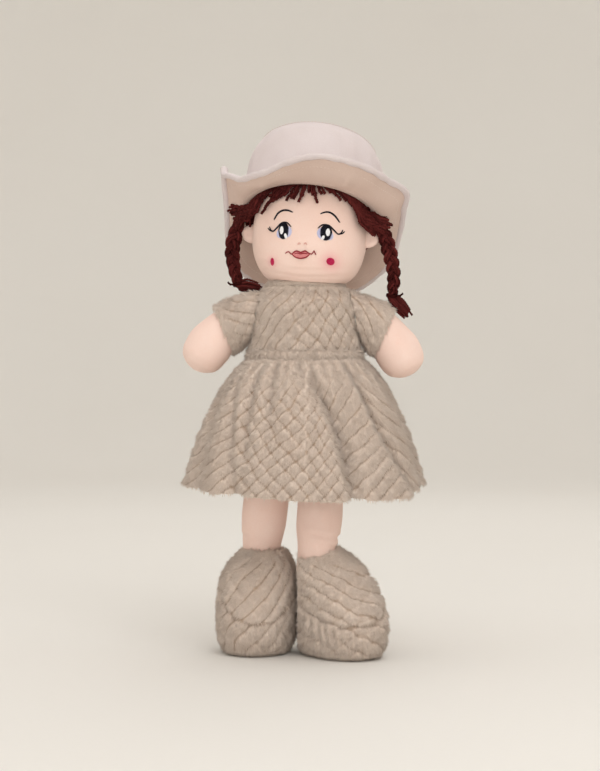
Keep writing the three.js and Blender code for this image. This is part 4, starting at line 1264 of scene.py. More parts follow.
@dataclass
class Arm:
    """One arm: a mitt of body cloth in a short plush sleeve."""

    name: str
    side: int
    drop: float
    dress: Dress
    length: float = 70.0
    wrist: float = 18.0
    hand: float = 21.5
    rows: int = 84
    columns: int = 72

    def route(self) -> Array:
        """Return the arm's middle line, spaced evenly."""
        out = self.dress.trunk.out(self.side)
        start = self.dress.trunk.armhole(self.side)
        heading = turned(BACK, self.side * self.drop) @ (self.side * RIGHT)
        first, bend = start - 6 * out, start + 0.35 * self.length * out
        last = start + self.length * heading - 0.03 * self.length * UP
        share = np.linspace(0, 1, 300)[:, None]
        return respaced((1 - share) ** 2 * first + 2 * share * (1 - share) * bend + share**2 * last, 301)

    def along(self, shares: Array) -> tuple[Array, Array, Array]:
        """Return the middle line's points and its two crossing directions at shares of its length."""
        route = self.route()
        ways = headings(route)
        index = np.linspace(0, 1, len(route))
        points, ahead = (
            np.stack([np.interp(shares, index, values[:, k]) for k in range(3)], -1)
            for values in (route, ways)
        )
        across = unit(BACK - ahead * (ahead @ BACK)[:, None])
        return points, across, np.cross(ahead, across)

    def build(self) -> None:
        """Build the mitt, its seam and the sleeve."""
        tip = 0.9 + 0.1 * np.sin(np.linspace(0.1, math.pi / 2, 24))
        shares = np.concatenate([np.linspace(0, 0.9, self.rows), tip])
        points, across, up = self.along(shares)
        sizes = eased(
            (
                (0, 0.84 * self.wrist, 0.84 * self.wrist),
                (0.3, 0.86 * self.wrist, 0.86 * self.wrist),
                (0.42, 0.95 * self.wrist, 0.93 * self.wrist),
                (0.55, 0.6 * self.wrist + 0.4 * self.hand, self.wrist),
                (0.7, self.hand, self.hand * 0.93),
                (0.82, self.hand * 0.965, self.hand * 0.89),
                (0.91, self.hand * 0.81, self.hand * 0.75),
                (0.965, self.hand * 0.53, self.hand * 0.49),
                (0.99, self.hand * 0.28, self.hand * 0.26),
                (1, 0.4, 0.4),
            ),
            shares,
        )
        angle = np.linspace(0, 2 * math.pi, self.columns, endpoint=False)
        seam = bell(np.abs(np.sin(angle)) - 1, 0.02)[None, :] * 0.35
        shape = (
            points[:, None]
            + across[:, None] * (sizes[:, :1] * np.cos(angle))[..., None]
            + up[:, None] * ((sizes[:, 1:] - seam) * np.sin(angle))[..., None]
        )
        out = self.dress.trunk.out(self.side)
        short = np.minimum((shape - self.dress.trunk.armhole(self.side)) @ out - GAP, 0)
        shape = shape - short[..., None] * out
        skin = Shape.skin(shape, ends=True)
        skin.raised(0.3 * waves(skin.points, 34, 21 + self.side))
        name = "arm_skin_" + self.name
        piece = Piece(name.replace("skin", "cloth"), "arm_" + self.name, Finishes.SKIN, "body_cloth", (name,))
        piece.show(skin.mesh(name))
        lines = Lines()
        for k in (self.columns // 4, 3 * self.columns // 4):
            lines.add(shape[30:-6, k], 0.2)
        piece = Piece("arm_seam_" + self.name, "arm_" + self.name, Finishes.SKIN, "body_cloth")
        lines.stitches(piece, 1.6, 0.35, 0.7)
        self.build_sleeve()

    def build_sleeve(self) -> None:
        """Build the sleeve, whose free edge is rolled in, and its pile."""
        dress = self.dress
        depth, height = (size / 2 for size in dress.armhole_size)
        out = dress.trunk.out(self.side)
        opening = turned(BACK, self.side * dress.sleeve_turn) @ out
        ends, _, _ = self.along(np.array([0.09, 0.09 + dress.sleeve_length / self.length]))
        shares = np.linspace(0, 1, 40)
        angle = np.linspace(0, 2 * math.pi, 110, endpoint=False)
        facing = unit(out + (opening - out) * shares[:, None])
        up = np.cross(BACK, facing)
        middle = ends[0] + (ends[1] - ends[0]) * shares[:, None]
        scale = 1 + dress.sleeve_puff * np.sin(2.4 * shares) - 0.03 * bell(shares - 1, 0.06)
        pucker = 1 + 0.012 * np.cos(15 * angle) * (shares[:, None] - 0.3)
        outer = (
            middle[:, None]
            + BACK * (depth * scale[:, None] * pucker * np.cos(angle))[..., None]
            + up[:, None] * (height * scale[:, None] * pucker * np.sin(angle))[..., None]
        )
        sleeve = Shape.skin(shell(outer, PLUSH - 0.6, 5), loop=True)
        short = np.minimum((sleeve.points - dress.trunk.armhole(self.side)) @ out - GAP, 0)
        sleeve.points = sleeve.points - short[:, None] * out
        rows = len(sleeve.points) // len(angle)
        around = np.tile(np.linspace(0, 1, len(angle), endpoint=False), rows)
        along = (sleeve.points - ends[0]) @ unit(ends[1] - ends[0])
        quilting = Quilting(dress.sleeve_cells, seed=13 + self.side, length=3.6)
        quilting.press(sleeve, around, along, np.full(len(around), 0.4), stepped(along, 21, 27))
        name, body = "sleeve_" + self.name, "arm_" + self.name
        piece = Piece(name + "_cloth", body, Finishes.PLUSH, "dress_plush", (name,))
        cloth = piece.show(sleeve.mesh(name))
        outside = (np.arange(len(sleeve.points)) < len(shares) * len(angle)).astype(float)
        quilting.tufts(sleeve, Piece(name + "_pile", body, Finishes.PLUSH, "dress_plush"), outside)


# Seat, legs and boots


@dataclass
class Seat:
    """The stuffed seat under the skirt, which folds at the trunk."""

    width: float = 90.0
    depth: float = 54.0
    reach: float = 18.0

    def build(self) -> None:
        """Build the seat's cloth, round about the fold and straight below it."""
        shares = np.sin(np.linspace(-math.pi / 2, math.pi / 2, 60))
        scale = np.sqrt(np.maximum(0, 1 - np.abs(shares) ** 5)) * 0.9 + 0.1
        angle = np.linspace(0, math.pi, 40)
        rows = []
        for share, size in zip(shares, scale):
            radius = self.depth / 2 * size
            arch = np.stack([radius * np.cos(angle), SEAT_AXIS_Z + radius * np.sin(angle)], 1)
            straight = np.linspace(0.1, 1, 8)[:, None] * (0, -self.reach)
            side = np.vstack([arch, arch[-1] + straight, (arch[0] + straight)[::-1]])
            rows.append(np.column_stack([np.full(len(side), SEAT_SHIFT + share * self.width / 2), side]))
        seat = Shape.skin(np.array(rows), ends=True)
        seat.raised(0.15 * waves(seat.points, 20, 31) - 0.15)
        piece = Piece("seat_cloth", "seat", Finishes.SKIN, "body_cloth", ("seat_skin",))
        piece.show(seat.mesh("seat_cloth"))


@dataclass
class Leg:
    """One leg with its boot, which is turned and leans in its own way."""

    name: str
    side: int
    ankle: tuple[float, float]
    yaw: float
    lean: float
    mouth_tilt: float
    creases: tuple[tuple[float, float], ...]
    spacing: float = 46.0
    thigh: float = 20.5
    shin: float = 15.5
    boot_height: float = 84.0
    boot: tuple[float, float] = (32.6, 45.4)
    mouth: float = 18.8
    forward: float = 13.0
    meet: float = -6.4
    boot_shift: float = 0.0
    seam_turn: float = 0.0
    pleats: float = 1.0
    pleat_pitch: float = 6.2
    sole: float = 2.5
    seam_height: float = 58.0
    seam_slope: float = 33.0
    cells: int = 14
    cell_height: float = 17.5
    quilt_lean: float = -0.5

    @property
    def hip(self) -> Array:
        """Middle of the leg joint."""
        return np.array([SEAT_SHIFT + self.side * self.spacing / 2, 0, LEG_JOINT_Z])

    def build(self) -> None:
        """Build the leg, its seam and the boot."""
        foot = np.array([*self.ankle, self.boot_height])
        down = unit(foot - self.hip)
        bottom = foot + 14 * down
        dome = np.radians(np.linspace(3, 88, 18))
        upper = [self.hip + self.thigh * math.cos(a) * UP for a in dome]
        sizes = [self.thigh * math.sin(a) for a in dome]
        shares = np.linspace(0.02, 1, 70)
        widths = eased(
            (
                (0, self.thigh),
                (0.3, self.thigh * 0.96),
                (0.62, (self.thigh + self.shin) / 2 + 0.8),
                (0.9, self.shin),
                (1, self.shin),
            ),
            shares,
        )
        centres = np.vstack([upper, self.hip + shares[:, None] * (bottom - self.hip)])
        radii = np.append(sizes, widths)
        angle = np.linspace(0, 2 * math.pi, 72, endpoint=False)
        around = np.stack([np.cos(angle), np.sin(angle), np.zeros(72)], -1)
        grid = centres[:, None] + radii[:, None, None] * around
        skin = Shape.skin(grid, ends=True)
        height = 0.3 * waves(skin.points, 30, 41 + self.side)
        for level, depth in self.creases:
            bow = 2.5 * np.cos(skin.points[:, 0] / 9)
            outer_side = stepped(self.side * (skin.points[:, 0] - self.ankle[0]), -12, 10)
            height -= depth * bell(skin.points[:, 2] - level - bow, 1.8) * outer_side
            height += 0.5 * depth * bell(skin.points[:, 2] - level - bow - 3.4, 2.2) * outer_side
        skin.raised(height)
        name, body = "leg_skin_" + self.name, "leg_" + self.name
        piece = Piece("leg_cloth_" + self.name, body, Finishes.SKIN, "body_cloth", (name,))
        piece.show(skin.mesh(name))
        seam = Lines()
        inner = 36 if self.side > 0 else 0
        seam.add(grid[18:-2, inner], 0.2)
        seam.stitches(Piece("leg_seam_" + self.name, body, Finishes.SKIN, "body_cloth"), 1.6, 0.4, 0.7)
        self.build_boot()

    def boot_place(self, height: Array, angle: Array) -> Array:
        """Return the points of the boot's outside at heights and angles, in its own frame."""
        wide, long = self.boot
        rows = (
            (0, 0.72 * wide, 0.76 * long, 1),
            (5, 0.87 * wide, 0.9 * long, 1),
            (14, 0.97 * wide, 0.98 * long, 1),
            (28, wide, long, 1),
            (42, wide, 0.93 * long, 0.95),
            (57.1, 0.98 * wide, 0.76 * long, 0.8),
            (71.4, 0.87 * wide, 0.58 * long, 0.5),
            (84, self.mouth, self.mouth, 0),
        )
        width, length, share = np.moveaxis(eased(rows, height), -1, 0)
        across, along = rounded(angle, 2.2)
        x = self.side * self.lean * share + width * across + self.boot_shift
        tilt = self.mouth_tilt * stepped(height, 55, 84) * across
        return np.stack([x, -self.forward * share + length * along, height + tilt], -1)

    def settled(self, points: Array) -> Array:
        """Turn points from the boot's frame into place and flatten them where the boots meet."""
        placed = points @ turned(UP, self.yaw).T + np.array([*self.ankle, 0])
        past = self.side * (self.meet + 0.15 * self.side - placed[:, 0])
        placed[:, 0] += self.side * np.maximum(past, 0)
        return placed

    def build_boot(self) -> None:
        """Build the boot's shaft and toe panel with their pile, and the sole."""
        heights = np.linspace(self.sole + GAP, self.boot_height, 68)
        columns = 208
        outer = lathe(self.boot_place, heights, columns)
        inner = outer[-1].mean(0)
        lip = [
            inner + (outer[-1] - inner) * (1 - 0.05 * k) + UP * h
            for k, h in ((1, 0.9), (2.4, 1.1), (4, 0.2), (5, -3))
        ]
        grid = np.concatenate([outer, lip])
        boot = Shape.skin(grid, ends=True)
        angle = np.append(np.tile(np.linspace(0, 1, columns, endpoint=False), len(grid)), [0, 0])
        slope = turned(RIGHT, self.seam_slope)
        aside = turned(UP, self.seam_turn)
        below = aside @ slope @ -UP
        middle = np.array([self.side * self.lean * 0.8, -self.forward, self.seam_height])
        past_seam = (boot.points - middle) @ below
        front = stepped(-boot.points @ (aside @ BACK), 6, 14)
        gathered = self.pleats * bell(past_seam - 8, 8) * (past_seam > 0) * front
        gathered = gathered * stepped(boot.points[:, 2], 3, 14)
        across = boot.points @ (aside @ RIGHT)
        gathered *= 1 - 0.8 * stepped(self.side * across, 10, 22)
        pleats = np.cos(2 * math.pi * across / self.pleat_pitch + 1.3 * waves(boot.points, 22, 57))
        groove = -(0.7 + 0.8 * self.pleats) * bell(past_seam, 1.6) * front
        boot.raised(groove + 1.2 * pleats * gathered + 0.6 * gathered)
        plain = np.maximum(stepped(boot.points[:, 2], 76, 81), stepped(-boot.points[:, 2], -6, -3))
        plain = np.maximum(plain, np.minimum(0.85 * gathered, 1))
        quilting = Quilting(self.cells, self.cell_height, seed=51 + self.side, density=1.3, puff=1.3)
        shift = 0.35 * (past_seam > 0) * front
        lean = np.full(len(angle), self.quilt_lean)
        quilting.press(boot, angle + shift / self.cells, boot.points[:, 2] + 4 * front, lean, plain)
        # Painted shade along the toe seam's groove: a lower quilt value darkens the plush colour there.
        boot.layers["quilt"] *= 1 - 0.75 * bell(past_seam, 1.1) * front
        boot.points = self.settled(boot.points)
        boot.layers["lie"] = boot.layers["lie"] @ turned(UP, self.yaw).T
        toe = np.where(past_seam > 0, 1.0, 0.01)
        apart = self.side * (boot.points[:, 0] - self.meet) > 0.6
        body = "leg_" + self.name
        outside = np.append(np.arange(len(boot.points) - 2) < (len(heights) + 3) * columns, [False, False])
        for part, chosen in (("toe", toe), ("shaft", 1 - toe)):
            name = f"boot_{part}_{self.name}"
            piece = Piece(name + "_cloth", body, Finishes.PLUSH, "boot_plush", (name,))
            piece.show(boot.part(chosen).mesh(name))
            growing = np.minimum(chosen, outside & apart)
            quilting.tufts(boot, Piece(name + "_pile", body, Finishes.PLUSH, "boot_plush"), growing)
        self.build_sole(columns)

    def build_sole(self, columns: int) -> None:
        """Build the flat sole with its rounded edge."""
        heights = np.array([0.0, 0.3, 0.9, 1.7, self.sole, self.sole + GAP])
        turn_in = np.array([1.2, 0.5, 0.15, 0.0, 0.0, 0.4])
        grid = lathe(self.boot_place, heights, columns)
        middle = grid.mean(1, keepdims=True) * (1, 1, 0) + grid * (0, 0, 1)
        grid = grid - unit(grid - middle) * turn_in[:, None, None]
        sole = Shape.skin(grid, ends=True)
        sole.points = self.settled(sole.points)
        name = "boot_sole_" + self.name
        sole.layers["quilt"] = np.ones(len(sole.points))
        piece = Piece(name + "_cloth", "leg_" + self.name, Finishes.PLUSH, "boot_plush", (name,))
        piece.show(sole.mesh(name))


# Head


@dataclass
class Head:
    """The stuffed head with its ears. Its own frame stands on the neck, turned and rolled as it is held."""

    width: float = 97.0
    depth: float = 92.0
    height: float = 109.0
    power: float = 2.1
    turn: float = -8.5
    roll: float = 3.0
    origin: Point = (2.0, 0.0, NECK_Z + GAP)
    profile: tuple[tuple[float, float], ...] = (
        (0, 0.62),
        (0.035, 0.75),
        (0.1, 0.87),
        (0.19, 0.95),
        (0.29, 0.99),
        (0.4, 1),
        (0.53, 0.98),
        (0.66, 0.92),
        (0.78, 0.81),
        (0.88, 0.65),
        (0.95, 0.46),
        (1, 0.2),
    )
    ear: Point = (10.6, 4.5, 8.2)
    ear_level: float = 40.0
    # Places of the blush, its reach and its strength
    cheeks: tuple[tuple[tuple[float, float], float, float], ...] = (
        ((-25.2, 14.6), 4.6, 0.45),
        ((23.8, 16.6), 6.5, 0.6),
    )
    middle: float = 52.0

    def matrix(self) -> Array:
        """Return the turn from the head's frame to the doll's."""
        return turned(BACK, self.roll) @ turned(UP, self.turn)

    def placed(self, points: Array) -> Array:
        """Return points of the head's frame in the doll's."""
        return np.asarray(points) @ self.matrix().T + np.array(self.origin)

    def half_width(self, level: Array) -> Array:
        """Return the share of the half width at a level."""
        return eased(self.profile, np.clip(level / self.height, 0, 1))

    def front(self, points: Array, lift: float | Array) -> Array:
        """Find the face's surface.

        Args:
            points: Places across and up.
            lift: Distance in front of the surface.

        Returns:
            The points on the face in the head's frame.
        """
        across, level = points[..., 0], points[..., 1]
        share = self.half_width(level)
        half, deep = share * self.width / 2 + lift, share * self.depth / 2 + lift
        inside = np.maximum(1 - np.abs(across / half) ** self.power, 0)
        return np.stack([across, -deep * inside ** (1 / self.power), level], -1)

    def towards(self, direction: Array, lift: Array | float) -> Array:
        """Return the points where directions from the head's middle leave its surface, lifted off it."""
        direction = unit(np.asarray(direction, float))
        low, high = np.zeros(direction.shape[:-1]), np.full(direction.shape[:-1], 90.0)
        for _ in range(26):
            reach = (low + high) / 2
            point = direction * reach[..., None]
            level = point[..., 2] + self.middle
            share = self.half_width(level)
            size = np.abs(point[..., 0] / (share * self.width / 2)) ** self.power
            size += np.abs(point[..., 1] / (share * self.depth / 2)) ** self.power
            outside = (size > 1) | (level > self.height) | (level < 0)
            low, high = np.where(outside, low, reach), np.where(outside, reach, high)
        return direction * (low + lift)[..., None] + np.array([0, 0, self.middle])

    def build(self) -> None:
        """Build the head's cloth with its creases under the chin, and the ears."""
        levels = self.height * (0.5 - 0.5 * np.cos(np.linspace(0.06, math.pi - 0.05, 110)))

        def place(level: Array, angle: Array) -> Array:
            """Place a point of the head."""
            share = self.half_width(level)
            across, along = rounded(angle, self.power)
            return np.stack([share * self.width / 2 * across, share * self.depth / 2 * along, level], -1)

        head = Shape.skin(lathe(place, levels, 160), ends=True)
        x, y, level = head.points.T
        front = stepped(-y, 8, 26)
        bow = 0.0035 * (x - 3) ** 2
        height = 0.35 * waves(head.points, 45, 61)
        for start, depth, width in ((3.2, 0.6, 1.1), (8.6, 0.22, 1.3)):
            height -= depth * bell(level - start - bow, width) * front * bell(x - 3, 34)
            height += 0.4 * depth * bell(level - start - bow - 2.6, 1.6) * front * bell(x - 3, 34)
        head.raised(height)
        head.layers["blush"] = np.zeros(len(x))
        for cheek, size, strength in self.cheeks:
            reach = np.hypot(x - cheek[0], level - cheek[1])
            head.layers["blush"] += strength * bell(reach, size) * (y < 0)
        head.points = self.placed(head.points)
        piece = Piece("head_cloth", "head", Finishes.SKIN, "body_cloth", ("head_skin",))
        piece.show(head.mesh("head_cloth"))
        for name, side in (("left", 1), ("right", -1)):
            self.build_ear(name, side)

    def build_ear(self, name: str, side: int) -> None:
        """Build an ear: a flat stuffed half disc with a dent in front."""
        reach, thick, high = self.ear

        def place(share: Array, angle: Array) -> Array:
            """Place a point of the ear."""
            polar = share * math.pi
            wide = reach * np.sin(polar) * np.cos(angle)
            flat = np.stack([wide, thick * np.sin(polar) * np.sin(angle)], -1)
            dent = 1.6 * bell(np.hypot(flat[..., 0] - 3.5, high * np.cos(polar)), 3.2) * (flat[..., 1] < 0)
            points = np.stack([flat[..., 0], flat[..., 1] + dent, high * np.cos(polar)], -1)
            return points * (side, 1, 1) + (side * self.width / 2, 0, self.ear_level)

        ear = Shape.skin(lathe(place, np.linspace(0.02, 0.98, 30), 40), ends=True)
        ear.points = self.placed(ear.points)
        cad = "ear_" + name
        Piece(cad + "_cloth", "head", Finishes.SKIN, "body_cloth", (cad,)).show(ear.mesh(cad))


# Face


@dataclass
class Face:
    """The stitched face: satin threads laid close together over each coloured area of the head's front."""

    head: Head
    thread: float = 0.2
    spacing: float = 0.33
    lip: tuple[tuple[float, float], ...] = (
        (-7.6, 21.0),
        (-5.9, 22.6),
        (-3.9, 23.6),
        (-1.8, 23.1),
        (-0.4, 22.6),
        (1.2, 23.1),
        (3.3, 23.9),
        (5.2, 23.0),
        (7.2, 21.8),
        (5.6, 19.8),
        (3.0, 18.3),
        (-0.4, 17.7),
        (-3.3, 18.1),
        (-5.8, 19.2),
    )

    def satin(
        self, outline: Sequence[tuple[float, float]] | Array, angle: float, lift: float, lines: Lines
    ) -> None:
        """Fill an outline with threads.

        Args:
            outline: Corners across and up, in the head's frame.
            angle: Direction of the threads in degrees from level.
            lift: Height over the cloth.
            lines: Lines that get the threads.
        """
        turn = math.radians(angle)
        way, step = np.array([math.cos(turn), math.sin(turn)]), np.array([-math.sin(turn), math.cos(turn)])
        corners = np.asarray(outline, float)
        along, over = corners @ way, corners @ step
        rng = np.random.default_rng(len(corners))
        for row in np.arange(over.min() + self.spacing / 2, over.max(), self.spacing):
            cuts = []
            for k in range(len(corners)):
                a, b = over[k - 1], over[k]
                if (a > row) != (b > row):
                    cuts.append(along[k - 1] + (along[k] - along[k - 1]) * (row - a) / (b - a))
            cuts.sort()
            for start, end in zip(cuts[::2], cuts[1::2]):
                self.stitch(way * start + step * row, way * end + step * row, lift, rng.uniform(), lines)

    def stitch(self, start: Array, end: Array, lift: float, shade: float, lines: Lines) -> None:
        """Lay one thread between two places of the face, sinking in at its ends."""
        count = max(4, int(np.linalg.norm(end - start) / 0.9) + 2)
        share = np.linspace(0, 1, count)
        flat = start + (end - start) * share[:, None]
        arch = 0.3 * np.sqrt(np.sin(math.pi * share).clip(0)) - 0.15
        lines.add(self.head.placed(self.head.front(flat, lift + arch)), self.thread, shade)

    def line(self, points: Sequence[tuple[float, float]], width: float, lift: float, lines: Lines) -> None:
        """Cover a smooth line with short threads across it, narrower at its ends."""
        knots = np.asarray(points, float)
        length = np.linalg.norm(np.diff(knots, axis=0), axis=1).sum()
        path = smooth_path(knots, max(4, round(length / self.spacing * 1.1)))
        ways = headings(path)
        across = np.stack([-ways[:, 1], ways[:, 0]], 1)
        share = np.linspace(0, 1, len(path))
        taper = 0.45 + 0.55 * np.sqrt(np.sin(math.pi * share).clip(0))
        for k, (point, off) in enumerate(zip(path, across)):
            half = off * width / 2 * taper[k] + 0.25 * width * ways[k]
            self.stitch(point - half, point + half, lift, k % 3 / 2, lines)

    def oval(self, x: float, level: float, width: float, height: float, lean: float = 0.0) -> Array:
        """Return the outline of an oval."""
        angle = np.linspace(0, 2 * math.pi, 40, endpoint=False)
        return np.stack(
            [x + width / 2 * np.cos(angle) + lean * np.sin(angle), level + height / 2 * np.sin(angle)], 1
        )

    def show(
        self, name: str, lines: Lines, finish: Finishes, slot: str, stands_for: tuple[str, ...] = ()
    ) -> None:
        """Show threads of one colour on the head."""
        lines.strands(Piece(name, "head", finish, slot, stands_for), lobes=3, hollow=0.85, pitch=0)

    def build(self) -> None:
        """Stitch the eyes, brows, nose, mouth and cheeks."""
        ovals = (-15.6, 39.9, 9.2, 13.9), (-17.2, 40.3, 3.2, 6.8), (-13.5, 35.6, 2.4, 4.4)
        self.build_eye("right", *ovals, -1)
        ovals = (19.6, 39.8, 9.7, 13.1), (21.2, 40.1, 3.3, 6.4), (17.5, 35.5, 2.4, 3.9)
        self.build_eye("left", *ovals, 1)
        brows = {
            "right": (
                (-24.7, 49.2), (-21.6, 54.2), (-17.9, 56.5), (-14.5, 57), (-11.2, 56.4), (-8.8, 55.3),
            ),
            "left": (
                (14.4, 55.1), (17.3, 56.4), (19.9, 56.9), (22.6, 56.3), (25.3, 54.6), (27.7, 52), (29.7, 49.2),
            ),
        }
        for name, points in brows.items():
            lines = Lines()
            self.line(points, 1.5, 0.35, lines)
            self.show(f"brow_{name}_threads", lines, Finishes.INK, "dark_thread", ("brow_" + name,))
        nose = Lines()
        for places in (((-2.9, 28.8), (-2.2, 30.1), (-0.7, 29.5)), ((2.2, 29.6), (3.6, 30.4), (4.4, 29.2))):
            self.line(places, 0.9, 0.35, nose)
        self.show("nose_threads", nose, Finishes.NOSE, "pale_pink_thread", ("nose_stitch",))
        lips, edges = Lines(), Lines()
        self.satin(self.lip, 80, 0.35, lips)
        corner = (-13.2, 21.5), (-11.8, 22.5), (-10.3, 22.7), (-8.9, 21.4), (-7.6, 21.0)
        upper = (*corner, *self.lip[1:8], (7.2, 21.8), (9.1, 21.9), (10.7, 24.4))
        self.line(upper, 0.9, 0.6, edges)
        self.line((self.lip[8], *self.lip[9:], self.lip[0]), 0.9, 0.6, edges)
        self.line(((-5.2, 21.4), (-2.6, 21.9), (-0.4, 21.3), (2.4, 22), (5.4, 21.6)), 0.7, 0.65, edges)
        self.line(((10.7, 24.4), (11.4, 22.8), (12.2, 21.2)), 0.7, 0.6, edges)
        self.show("lip_threads", lips, Finishes.LIP, "rose_thread", ("lips",))
        self.show("lip_edge_threads", edges, Finishes.LIP_EDGE, "rose_thread")
        cheeks = Lines()
        self.satin(self.oval(-25.2, 14.6, 3.4, 6.2), 35, 0.3, cheeks)
        self.satin(self.oval(23.8, 16.6, 6.4, 6.0), 35, 0.3, cheeks)
        self.show("cheek_threads", cheeks, Finishes.ROSE, "rose_thread")

    def build_eye(
        self,
        name: str,
        black: tuple[float, ...],
        light: tuple[float, ...],
        spark: tuple[float, ...],
        side: int,
    ) -> None:
        """Stitch an eye from its lilac ground up to its lights, lid and lashes.

        Args:
            name: Which eye.
            black: Place, width and height of the dark oval.
            light: The same for the large light.
            spark: The same for the small light.
            side: One on the doll's left and minus one on its right.
        """
        x, level, width, height = black
        ground, dark, white = Lines(), Lines(), Lines()
        self.satin(self.oval(x - side * 2.8, level - 0.6, 8.6, 9.6), 90, 0.2, ground)
        self.satin(self.oval(x + side * 3.0, level - 2.4, 6.0, 7.4), 90, 0.2, ground)
        self.satin(self.oval(x, level, width, height), 0, 0.45, dark)
        self.satin(self.oval(*light), 90, 0.75, white)
        self.satin(self.oval(*spark, lean=side * 0.5), 90, 0.75, white)
        half, top = width / 2, level + height / 2
        lid = (
            (x - side * (half + 1.6), level + 3.4),
            (x - side * 0.6 * half, top - 0.4),
            (x + side * 0.4 * half, top - 0.6),
            (x + side * (half + 1.2), level + 2.6),
            (x + side * (half + 4.6), level - 0.4),
            (x + side * (half + 7.6), level + 0.4),
        )
        self.line(lid, 1.2, 0.6, dark)
        corner = np.array(lid[4])
        for reach, rise in ((5.0, 2.6), (3.6, 3.6)):
            tip = corner + (side * reach, rise)
            bend = corner + (side * reach * 0.6, rise * 0.25)
            self.line([tuple(corner), tuple(bend), tuple(tip)], 0.8, 0.6, dark)
        self.show(f"eye_{name}_threads", dark, Finishes.INK, "dark_thread", ("eye_" + name,))
        self.show(f"eye_{name}_ground", ground, Finishes.LILAC, "")
        self.show(f"eye_{name}_light", white, Finishes.WHITE, "")


# Hair


